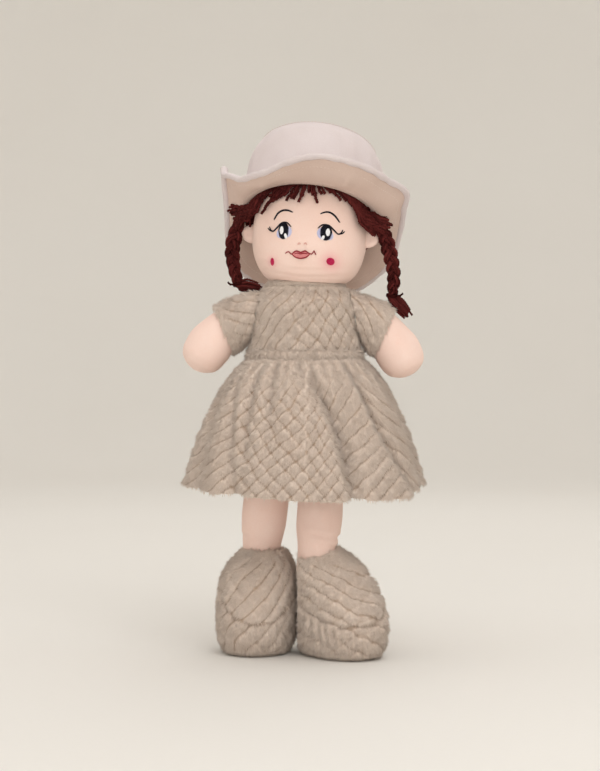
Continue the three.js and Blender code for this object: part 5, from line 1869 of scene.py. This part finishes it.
@dataclass
class Hair:
    """Yarn hair: a parted cap, a ragged fringe, a drawn lock and a plait on each side."""

    head: Head
    yarn: float = 1.45
    root: tuple[float, float] = (63.0, 45.0)
    station: float = 1.3
    seed: int = 71
    # Strands over the crown on each side, and the bends they start from, in degrees
    cap_strands: int = 76
    cap_bends: tuple[float, float] = (37.0, 206.0)
    lock_strands: int = 40

    def over(self, start: Array, end: Array, lift: tuple[float, float], sag: float = 0.0) -> Array:
        """Lead a strand over the head between two directions from its middle.

        Args:
            start: Direction of its start.
            end: Direction of its end.
            lift: Height over the cloth at its start and at its end.
            sag: How far the strand bows down on its way, as a share of its turn.

        Returns:
            The strand's points in the head's frame.
        """
        a, b = unit(np.asarray(start, float)), unit(np.asarray(end, float))
        angle = math.acos(float(np.clip(a @ b, -1, 1)))
        count = max(5, int(angle * 50 / self.station))
        share = np.linspace(0, 1, count)[:, None]
        ways = (np.sin((1 - share) * angle) * a + np.sin(share * angle) * b) / max(math.sin(angle), 1e-6)
        ways = ways - sag * np.sin(math.pi * share) * UP
        heights = lift[0] + (lift[1] - lift[0]) * share[:, 0]
        return self.head.towards(ways, heights)

    def crimped(self, path: Array, rng: np.random.Generator, size: float = 0.35) -> Array:
        """Give a strand the small waves of unpicked yarn."""
        run = np.append(0, np.cumsum(np.linalg.norm(np.diff(path, axis=0), axis=1)))
        phase, pitch = rng.uniform(0, 2 * math.pi, 3), rng.uniform(6, 9, 3)
        wobble = np.sin(2 * math.pi * run[:, None] / pitch + phase)
        return path + size * wobble * np.minimum(run / 6, 1)[:, None]

    def build(self) -> None:
        """Build all the hair."""
        self.build_cap()
        self.build_fringe()
        for name, side in (("left", 1), ("right", -1)):
            self.build_lock(name, side)

    def build_cap(self) -> None:
        """Lay strands from the parting over the head to the root of each braid, on a close under layer."""
        rng = np.random.default_rng(self.seed)
        lines = Lines()
        width, level = self.root
        for side in (-1, 1):
            for turn in np.linspace(*self.cap_bends, self.cap_strands):
                bend = math.radians(turn + rng.uniform(-0.6, 0.6))
                start = np.array([0.02 * side, -math.cos(bend), math.sin(bend)])
                behind = rng.uniform(-3, 9) + 4 * stepped(turn, 120, 200)
                aim = np.array([side * width, behind, level - self.head.middle + rng.uniform(-2, 7)])
                path = self.over(start, aim, (2.6, rng.uniform(2.4, 7.5)), 0.1 * stepped(-turn, -75, -40))
                lines.add(self.head.placed(self.crimped(path, rng, 0.25)), self.yarn, rng.uniform())
        lines.strands(Piece("hair_cap_yarn", "head", Finishes.HAIR, "hair_yarn", ("hair_cap",)))
        self.build_under_layer()

    def build_under_layer(self) -> None:
        """Build the closed layer of yarn next to the cloth, from the hairline to the nape, kept dark as
        painted shade under the strands.
        """

        def place(share: Array, angle: Array) -> Array:
            """Place a point of the layer: its edge goes over the forehead and down to the nape."""
            front = np.clip(-np.sin(angle), 0, 1)
            back = np.clip(np.sin(angle), 0, 1)
            edge = 46 + 36 * front**0.8 - 30 * back
            level = edge + (self.head.height + 1 - edge) * share
            half = self.head.half_width(level)
            grow = 3.0 * np.sqrt(np.clip(share * 14, 0, 1))
            across, along = rounded(angle, self.head.power)
            close = 1 - stepped(share, 0.97, 1.0)
            wide = (half * self.head.width / 2 + grow) * across * close
            deep = (half * self.head.depth / 2 + grow) * along * close
            return np.stack([wide, deep, level + 1.5 * share], -1)

        layer = Shape.skin(lathe(place, np.linspace(0, 1, 60), 120), ends=True)
        layer.raised(0.25 * np.cos(layer.points[:, 0] * 2.4) * stepped(layer.points[:, 2], 50, 60))
        layer.points = self.head.placed(layer.points)
        # Painted shade: the layer under the strands takes mostly the dark tone of the yarn.
        layer.layers["shade"] = np.full(len(layer.points), 0.1)
        Piece("hair_under_layer", "head", Finishes.HAIR, "hair_yarn").show(layer.mesh("hair_under_layer"))

    def build_fringe(self) -> None:
        """Lay the loose ended strands that fan out over the forehead from under the hat."""
        rng = np.random.default_rng(self.seed + 1)
        lines = Lines()
        middle = np.array([0, 0, self.head.middle])
        ends = (
            (-20.5, -43.5, 67.5), (-17, -44.5, 68.5), (-13.8, -45.1, 64.7), (-10.6, -45.6, 66.8),
            (-7.4, -46, 65.9), (-3.9, -46.8, 63.9), (-0.5, -46.8, 70), (3.5, -46.6, 72.5),
            (7.6, -46, 69.5), (11.4, -45.8, 63.8), (14.5, -44.8, 71.5), (17.3, -43, 70.4),
            (21.8, -40.3, 72.2), (25.5, -39, 70.5), (29.3, -37.7, 67.6), (34, -34, 66.8),
            (38.5, -30.3, 64.3), (40.5, -29, 61.5), (-24.5, -42, 66), (-27.5, -40.5, 63.6),
            (-30.8, -38.4, 60.5), (-34, -36.5, 58.5), (-35.8, -35.4, 53.8), (-39.3, -28.7, 62),
            (-44, -24, 55), (44.6, -23, 59.8), (46, -21, 55), (24, -41, 75),
            (-21, -43.6, 72), (33, -36, 71), (-31, -38, 68),
        )
        for end in ends:
            spot = np.array(end) + rng.uniform(-0.6, 0.6, 3)
            origin = np.array([2.4 + 0.12 * spot[0], -37.5 - 2 * rng.uniform(), 87.0])
            path = self.over(origin - middle, spot - middle, (4.6, 2.4 + rng.uniform(0, 1.6)))
            lines.add(self.head.placed(self.crimped(path, rng)), self.yarn * 1.04, rng.uniform())
        lines.strands(Piece("hair_fringe_yarn", "head", Finishes.HAIR, "hair_yarn", ("hair_fringe",)))

    def build_lock(self, name: str, side: int) -> None:
        """Lay the thick lock over the temple, drawn to the braid's root, with its loose ends standing out.

        Args:
            name: Which lock.
            side: One on the doll's left and minus one on its right.
        """
        rng = np.random.default_rng(self.seed + 10 + side)
        lines = Lines()
        middle = np.array([0, 0, self.head.middle])
        width, level = self.root
        for k in range(self.lock_strands):
            share = k / (self.lock_strands - 1)
            start = np.array([side * (16 + 10 * share), -33 + 30 * share + rng.uniform(-2, 2), 86 + 6 * share])
            start = start - middle
            edge = np.array([side * (43 + 4 * share), -28 + 20 * share, 60 - 6 * share + rng.uniform(-4, 3)])
            edge = edge - middle
            first = self.over(start, edge, (4.0, rng.uniform(2.5, 6.5)))
            beside = side * (width + rng.uniform(-4, 3))
            root = np.array([beside, rng.uniform(-5, 4), level + rng.uniform(-4, 4)])
            half_way = (first[-1] + root) / 2 + (side * 1.5, -2, 2.5)
            path = smooth_path(np.vstack([first[::8], first[-1], half_way, root]), 60)
            lines.add(self.head.placed(self.crimped(path, rng)), self.yarn, rng.uniform())
        loose = {
            -1: (
                (-69, -2.5, 63.7), (-66.5, -6, 61.5), (-68, -4, 58.5), (-63.2, -2.6, 54.5), (-66, -4, 56),
                (-70, -3, 60), (-62, -7, 60), (-64.5, -5, 52.5), (-60, -9, 59), (-67, -5, 62),
            ),
            1: (
                (56.2, -2.5, 67.5), (60.5, -2.5, 64.8), (63.5, -4, 60), (66.5, -3, 56), (68.1, -2.6, 51.9),
                (67, -4, 49), (65, -7, 47), (60, -2.6, 43.1), (57.5, -7, 42.5), (55.5, -9, 43.2),
                (61.5, -6, 45), (54, -11, 44.6), (59, -5, 66),
            ),
        }[side]
        for end in loose:
            for _ in range(3):
                tip = np.array(end) + rng.uniform(-1.6, 1.6, 3)
                start = np.array([side * rng.uniform(12, 26), rng.uniform(-36, -22), rng.uniform(84, 90)])
                start = start - middle
                edge = np.array([side * rng.uniform(42, 47), rng.uniform(-27, -16), 0.55 * tip[2] + 27])
                edge = edge - middle
                first = self.over(start, edge, (4.4, rng.uniform(4, 7)))
                path = smooth_path(np.vstack([first[::8], first[-1], tip]), 60)
                lines.add(self.head.placed(self.crimped(path, rng)), self.yarn * 0.95, rng.uniform())
        cad = "hair_lock_" + name
        lines.strands(Piece(cad + "_yarn", "head", Finishes.HAIR, "hair_yarn", (cad,)))


@dataclass
class Braid:
    """One plait of three strands, its tie and the tuft under it. It hangs straight down."""

    name: str
    side: int
    root: Point
    drops: tuple[Point, ...]
    tuft: tuple[Point, ...]
    radius: float = 6.2
    turn: float = 25.0
    yarns: int = 6
    tie_radius: float = 4.3

    def spot(self, place: Point) -> Array:
        """Return a place whose third number is measured from the root."""
        return np.array([place[0], place[1], self.root[2] + place[2]])

    def build(self) -> None:
        """Build the plait, tie and tuft."""
        rng = np.random.default_rng(91 + self.side)
        spots = [np.array(self.root) + (0, 0, 4.5), np.array(self.root), *(self.spot(p) for p in self.drops)]
        route = smooth_path(spots, 120)
        ahead = headings(route)
        across = unit(RIGHT - ahead * (ahead @ RIGHT)[:, None])
        deep = np.cross(ahead, across)
        run = np.append(0, np.cumsum(np.linalg.norm(np.diff(route, axis=0), axis=1)))
        share = run / run[-1]
        size = self.radius * (1 - 0.3 * share**3) * (0.55 + 0.45 * stepped(run, 0, 7))
        lines = Lines()
        for strand in range(3):
            phase = 2 * math.pi * (run / self.turn + strand / 3)
            centre = (
                route
                + across * (0.6 * size * np.sin(phase))[:, None]
                + deep * (0.4 * size * np.sin(2 * phase))[:, None]
            )
            way = headings(centre)
            side = unit(BACK - way * (way @ BACK)[:, None])
            over = np.cross(way, side)
            for k in range(self.yarns):
                angle = 2 * math.pi * (k / (self.yarns - 1) + run / 34) + strand
                reach = 0.0 if k == self.yarns - 1 else 0.32
                round_ply = side * np.cos(angle)[:, None] + over * np.sin(angle)[:, None]
                path = centre + size[:, None] * reach * round_ply
                lines.add(path + 0.15 * rng.normal(size=3), 0.245 * size, rng.uniform())
        cad, body = "braid_" + self.name, "braid_" + self.name
        lines.strands(Piece(cad + "_yarn", body, Finishes.HAIR, "hair_yarn", (cad,)))

        end, heading = route[-1], ahead[-1]
        around = Lines()
        angle = np.linspace(0, 6 * math.pi, 90)
        ring = across[-1] * np.cos(angle)[:, None] + deep[-1] * np.sin(angle)[:, None]
        height = GAP + 1.0 + 1.3 * angle / (6 * math.pi)
        around.add(end + self.tie_radius * ring + heading * height[:, None], 0.85, 0.4)
        side = float(self.side)
        knot = end + heading * 2 + (side * 4.2, -3.4, 0)
        tail = knot + np.array([side * 5.0, -1.5, 1.6])
        bow = [knot + (0, 0, -1.5), knot, (knot + tail) / 2 + (0, 0, -1.2), tail]
        around.add(smooth_path(bow, 30), 1.0, 0.2)
        tie = "braid_tie_" + self.name
        around.strands(Piece(tie + "_yarn", body, Finishes.TIE, "tie_yarn", (tie,)))

        start = end + heading * 3.8
        lines = Lines()
        for k in range(28):
            spread = rng.normal(size=3) * 1.4
            tips = [self.spot(p) for p in self.tuft]
            reach = rng.uniform(0.75, 1.08)
            last = tips[0] + (tips[1] - tips[0]) * reach + spread * 1.1
            path = smooth_path([end, start + spread * 0.9, tips[0] + spread * 1.4, last], 30)
            taper = self.radius * 0.23 * (1 - 0.25 * np.linspace(0, 1, 30))
            lines.add(path, taper, rng.uniform())
        tuft = "braid_tuft_" + self.name
        lines.strands(Piece(tuft + "_yarn", body, Finishes.HAIR, "hair_yarn", (tuft,)))


# Hat


@dataclass
class Hat:
    """The soft hat: a round crown and a wide wavy brim of two layers with a rolled hem."""

    head: Head
    tilt: float = 24.0
    level: float = 60.0
    crown_radius: float = 57.5
    crown_height: float = 58.0
    top_radius: float = 50.0
    crown: tuple[tuple[float, float], ...] = ((0, 58.5), (0.3, 59.3), (0.6, 58.6), (0.84, 55.4), (1, 50))
    cloth: float = 1.8
    sag: float = 3.0
    hem: float = 2.6
    # Short folds under the brim: degrees from the front towards the doll's left, and width
    folds: tuple[tuple[float, float], ...] = ((30.0, 5.0), (-30.0, 6.0))
    edge: tuple[tuple[float, float, float], ...] = (
        (3, 37, 1), (20, 38, 3), (40, 34, 5), (60, 28, 10), (77, 29.5, 13.5), (92, 24, 12.5), (112, 26, 9),
        (134, 35, -7), (159, 43, -21), (186, 42, -26), (214, 41, -26), (238, 31, -18), (262, 21, 4),
        (284, 24, 29), (298, 25, 14), (320, 23, -2), (342, 28, -4),
    )

    def placed(self, points: Array) -> Array:
        """Return points of the hat's own frame in the doll's."""
        tipped = points @ turned(RIGHT, -self.tilt).T + np.array([0, 0, self.level])
        return self.head.placed(tipped)

    def at(self, degrees: Array, radius: Array | float, height: Array | float) -> Array:
        """Return places round the hat, where angle zero is the front and 90 the doll's left."""
        turn = np.radians(degrees)
        radius, height = np.broadcast_to(radius, turn.shape), np.broadcast_to(height, turn.shape)
        return np.stack([radius * np.sin(turn), -radius * np.cos(turn), height], -1)

    def brim(self, degrees: Array, share: Array, lift: float | Array) -> Array:
        """Return places on the brim, from the crown at share zero to the hem at share one."""
        edge = round_curve(self.edge, degrees)
        reach, rise = edge[..., 0] - 2 * self.hem - GAP, edge[..., 1]
        height = rise * share**1.4 - self.sag * np.sin(math.pi * share)
        return self.at(degrees, self.crown_radius + reach * share, height + lift)

    def build(self) -> None:
        """Build the crown, the brim, its hem and the seams."""
        self.build_crown()
        self.build_brim()
        self.build_hem()

    def build_crown(self) -> None:
        """Build the side band and the domed top panel, a little dented, with the seam between them."""
        columns = 200
        degrees = np.linspace(0, 360, columns, endpoint=False)
        shares = np.linspace(0, 1, 56)

        def wall(levels: Array, inset: float) -> Array:
            """Return the rings of the side band at shares of its height, moved in by an inset."""
            radii = eased(self.crown, levels)
            return np.array(
                [self.at(degrees, r - inset, self.crown_height * level) for level, r in zip(levels, radii)]
            )

        def dome(rings: Array, base: float, rise: float) -> Array:
            """Return the rings of the top panel, which rises from a base over the band's top."""
            heights = [self.crown_height + base + rise * (1 - (r / self.top_radius) ** 2.4) for r in rings]
            return np.array([self.at(degrees, r, height) for r, height in zip(rings, heights)])

        band = Shape.skin(np.concatenate([wall(shares, 0.0), wall(shares[::-4], 2 * self.cloth)]), loop=True)
        dents = 0.8 * waves(band.points, 52, 81) + 0.3 * waves(band.points, 19, 82)
        seam = bell(band.points[:, 2] - self.crown_height, 2.0)
        dents = dents * (1 - seam) * stepped(band.points[:, 2], 0, 14)
        band.raised(dents - 0.5 * bell(band.points[:, 2] - 1, 2.5))
        band.points = self.placed(band.points)
        piece = Piece("hat_side_band_cloth", "hat", Finishes.VELVET, "hat_cloth", ("hat_side_band",))
        cloth = piece.show(band.mesh("hat_side_band"))

        radii = self.top_radius * np.linspace(0.01, 1, 40)
        panel = Shape.skin(np.concatenate([dome(radii, 0.9, 3.4), dome(radii[::-4], -0.6, 2.6)]), ends=True)
        edge = stepped(np.linalg.norm(panel.points[:, :2], axis=1), 35, 46)
        panel.raised(0.5 * waves(panel.points, 45, 83) * (1 - edge))
        panel.points = self.placed(panel.points)
        piece = Piece("hat_top_panel_cloth", "hat", Finishes.VELVET, "hat_cloth", ("hat_top_panel",))
        cloth = piece.show(panel.mesh("hat_top_panel"))
        lines = Lines()
        lines.add(self.placed(self.at(degrees, self.top_radius + 0.4, self.crown_height + 0.5)), 0.3)
        lines.add(self.placed(self.at(degrees, self.crown_radius + 0.3, 1.2)), 0.3)
        piece = Piece("hat_crown_seams", "hat", Finishes.SEAM, "hat_cloth")
        lines.stitches(piece, 2.2, 0.45, 0.8, close=True)

    def layer(self, lift: float, seed: int, fold: float) -> Array:
        """Return one layer of the brim as a closed grid, rippled towards its edge and with two short folds."""
        degrees = np.linspace(0, 360, 240, endpoint=False)
        shares = np.linspace(0, 1, 30)
        sides = []
        for height in (lift + self.cloth / 2, lift - self.cloth / 2):
            rows = [self.at(degrees, self.crown_radius - 2 * self.cloth, height)]
            for share in shares:
                point = self.brim(degrees, share, height)
                ripple = 0.5 * share * waves(point * (1, 1, 0), 30, seed)
                folded = sum(bell((degrees + (180 - turn)) % 360 - 180, width) for turn, width in self.folds)
                ripple -= fold * math.sin(math.pi * share) * folded
                rows.append(point + ripple[:, None] * UP)
            sides.append(np.array(rows))
        return np.concatenate([sides[0], sides[1][::-1]])

    def build_brim(self) -> None:
        """Build both layers of the brim and the row of stitches inside its edge."""
        upper, under = -GAP - self.cloth / 2, -2 * GAP - 1.5 * self.cloth
        # The under layer takes the velvet with painted shade.
        for name, lift, finish, fold in (
            ("brim_upper", upper, Finishes.VELVET, 0.0),
            ("brim_under", under, Finishes.VELVET_UNDER_SHADED, 2.2),
        ):
            shape = Shape.skin(self.layer(lift, 85, fold), loop=True)
            shape.points = self.placed(shape.points)
            piece = Piece(name + "_cloth", "hat", finish, "hat_cloth", (name,))
            cloth = piece.show(shape.mesh(name))
        degrees = np.linspace(0, 360, 300, endpoint=False)
        lines = Lines()
        for share in (0.8, 0.05):
            for lift in (0.1, -2 * GAP - 2 * self.cloth):
                point = self.brim(degrees, np.full(300, share), lift)
                ripple = 0.5 * share * waves(point * (1, 1, 0), 30, 85)
                lines.add(self.placed(point + ripple[:, None] * UP), 0.3)
        lines.stitches(Piece("brim_stitches", "hat", Finishes.SEAM, "hat_cloth"), 2.2, 0.5, 0.8, close=True)

    def build_hem(self) -> None:
        """Build the rolled hem, which is a little flattened and puckered."""
        degrees = np.linspace(0, 360, 360, endpoint=False)
        centre = self.brim(degrees, np.ones(360), -1.5 * GAP - self.cloth)
        centre = centre + self.at(degrees, self.hem + GAP - 1.0, 0.0)
        centre = centre + (0.5 * waves(centre * (1, 1, 0), 30, 85))[:, None] * UP
        ways = unit(np.roll(centre, -1, 0) - np.roll(centre, 1, 0))
        out = self.at(degrees, 1.0, 0.0)
        out = unit(out - ways * np.einsum("ij,ij->i", out, ways)[:, None])
        up = np.cross(ways, out)
        angle = np.linspace(0, 2 * math.pi, 14, endpoint=False)
        size = (self.hem + 0.25 * waves(centre, 13, 88))[:, None]
        grid = (
            centre[:, None]
            + out[:, None] * (1.15 * size * np.cos(angle))[..., None]
            + up[:, None] * (0.92 * size * np.sin(angle))[..., None]
        )
        hem = Shape.skin(self.placed(grid.reshape(-1, 3)).reshape(grid.shape), loop=True)
        piece = Piece("brim_hem_cloth", "hat", Finishes.VELVET, "hat_cloth", ("brim_hem",))
        piece.show(hem.mesh("brim_hem"))


# Fillings and studio


def dress_fillings() -> None:
    """Give every filling inside the cloth its material, and the trunk's cloth under the dress."""
    for name, node in frame["nodes"].items():
        if "filling" in name or name == "torso_skin":
            stuffed = "filling" in name
            finish = Finishes.STUFFING if stuffed else Finishes.SKIN
            node.data.materials.clear()
            node.data.materials.append(finish.value.material())
    LOG.info("fillings dressed")


@dataclass
class Studio:
    """Floor, backdrop, lights and the camera at the photograph's angle, in metres."""

    camera: Point = (-0.00496, -1.4949, 0.226)
    lens: float = 82.5
    sensor: float = 36.0

    def build(self) -> None:
        """Build the studio."""
        self.build_floor()
        self.build_lights()
        self.build_camera()

    def build_floor(self) -> None:
        """Build the floor, a wide disc that curves up into a wall all round."""
        bend = np.linspace(0, math.pi / 2, 20)
        flat, curve, top, sides = 2.6, 1.8, 5.0, 72
        rise = [(flat + curve * math.sin(a), curve - curve * math.cos(a)) for a in bend]
        profile = [(0.4, 0.0), (1.2, 0.0), *rise, (flat + curve, top)]
        turns = [2 * math.pi * k / sides for k in range(sides)]
        rings = [[(r * math.cos(turn), r * math.sin(turn), z) for turn in turns] for r, z in profile]
        mesh = bpy.data.meshes.new("floor")
        faces = [tuple(range(sides))]
        for row in range(len(profile) - 1):
            for k in range(sides):
                here, beside = row * sides + k, row * sides + (k + 1) % sides
                faces.append((here, here + sides, beside + sides, beside))
        mesh.from_pydata([point for ring in rings for point in ring], [], faces)
        mesh.polygons.foreach_set("use_smooth", np.ones(len(faces), bool))
        mesh.materials.append(Finishes.FLOOR.value.material())
        floor = bpy.data.objects.new("floor", mesh)
        bpy.context.scene.collection.objects.link(floor)
        floor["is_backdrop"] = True

    def build_lights(self) -> None:
        """Build a soft key light, a fill and a pale surround."""
        for name, place, size, power in (
            ("key", (0.5, -1.4, 1.6), 0.9, 8.5),
            ("fill", (-0.3, -2.0, 0.0), 1.6, 18.0),
            ("back", (0.4, 1.6, 1.8), 1.2, 5.0),
        ):
            light = bpy.data.lights.new(name, "AREA")
            light.size, light.energy = size, power
            lamp = bpy.data.objects.new(name, light)
            lamp.location = place
            aim = np.array([0, 0, 0.22]) - np.array(place)
            lamp.rotation_euler = (
                math.atan2(math.hypot(aim[0], aim[1]), -aim[2]),
                0.0,
                math.atan2(-aim[0], aim[1]),
            )
            bpy.context.scene.collection.objects.link(lamp)
            lamp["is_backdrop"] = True
        world = bpy.data.worlds.new("surround")
        world.use_nodes = True
        background = world.node_tree.nodes["Background"]
        background.inputs["Color"].default_value = linear(0xF8F6F3)
        background.inputs["Strength"].default_value = 1.13
        bpy.context.scene.world = world
        bpy.context.scene.view_settings.view_transform = "Standard"

    def build_camera(self) -> None:
        """Build the camera."""
        lens = bpy.data.cameras.new("camera")
        lens.lens, lens.sensor_fit = self.lens, "VERTICAL"
        lens.sensor_width = lens.sensor_height = self.sensor
        camera = bpy.data.objects.new("camera", lens)
        camera.location = self.camera
        camera.rotation_euler = (math.pi / 2, 0, 0)
        bpy.context.scene.collection.objects.link(camera)
        bpy.context.scene.camera = camera


def main() -> None:
    """Build the doll and its studio."""
    logging.basicConfig(level=logging.INFO, format="%(name)s %(message)s")
    frame_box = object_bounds()
    dress = Dress()
    dress.build()
    for name, side, drop in (("left", 1, 46.0), ("right", -1, 40.0)):
        Arm(name, side, drop, dress).build()
    Seat().build()
    Leg(
        "left",
        1,
        ankle=(9.5, -18.0),
        yaw=33.0,
        lean=15.5,
        mouth_tilt=5.0,
        creases=((101.0, 1.2), (92.5, 1.0)),
        seam_height=47.0,
        seam_slope=24.0,
        seam_turn=-34.0,
        cells=8,
        cell_height=13.5,
        quilt_lean=0.4,
    ).build()
    Leg(
        "right",
        -1,
        ankle=(-37.3, 18.0),
        yaw=-4.0,
        lean=5.0,
        mouth_tilt=0.0,
        creases=((96.0, 0.4),),
        boot_shift=2.2,
        seam_turn=10.0,
        pleats=0.3,
    ).build()
    head = Head()
    head.build()
    Face(head).build()
    Hair(head).build()
    Braid(
        "left",
        1,
        root=(66.58, -9.31, 354.48),
        drops=((72, -6, -18), (75, -3, -36), (74, 1, -50)),
        tuft=((79, 2, -59), (87, 2, -68)),
    ).build()
    Braid(
        "right",
        -1,
        root=(-57.87, 9.31, 361.0),
        drops=((-62, 7, -18), (-60.5, 6, -35), (-57, 5, -47)),
        tuft=((-49, 4, -50.5), (-39, 3, -52.5)),
    ).build()
    Hat(head).build()
    dress_fillings()
    Studio().build()
    boxes = {"frame": frame_box, "looks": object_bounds()}
    json.dumps({name: [list(corner) for corner in box] for name, box in boxes.items()})


if __name__ == "__main__":
    main()
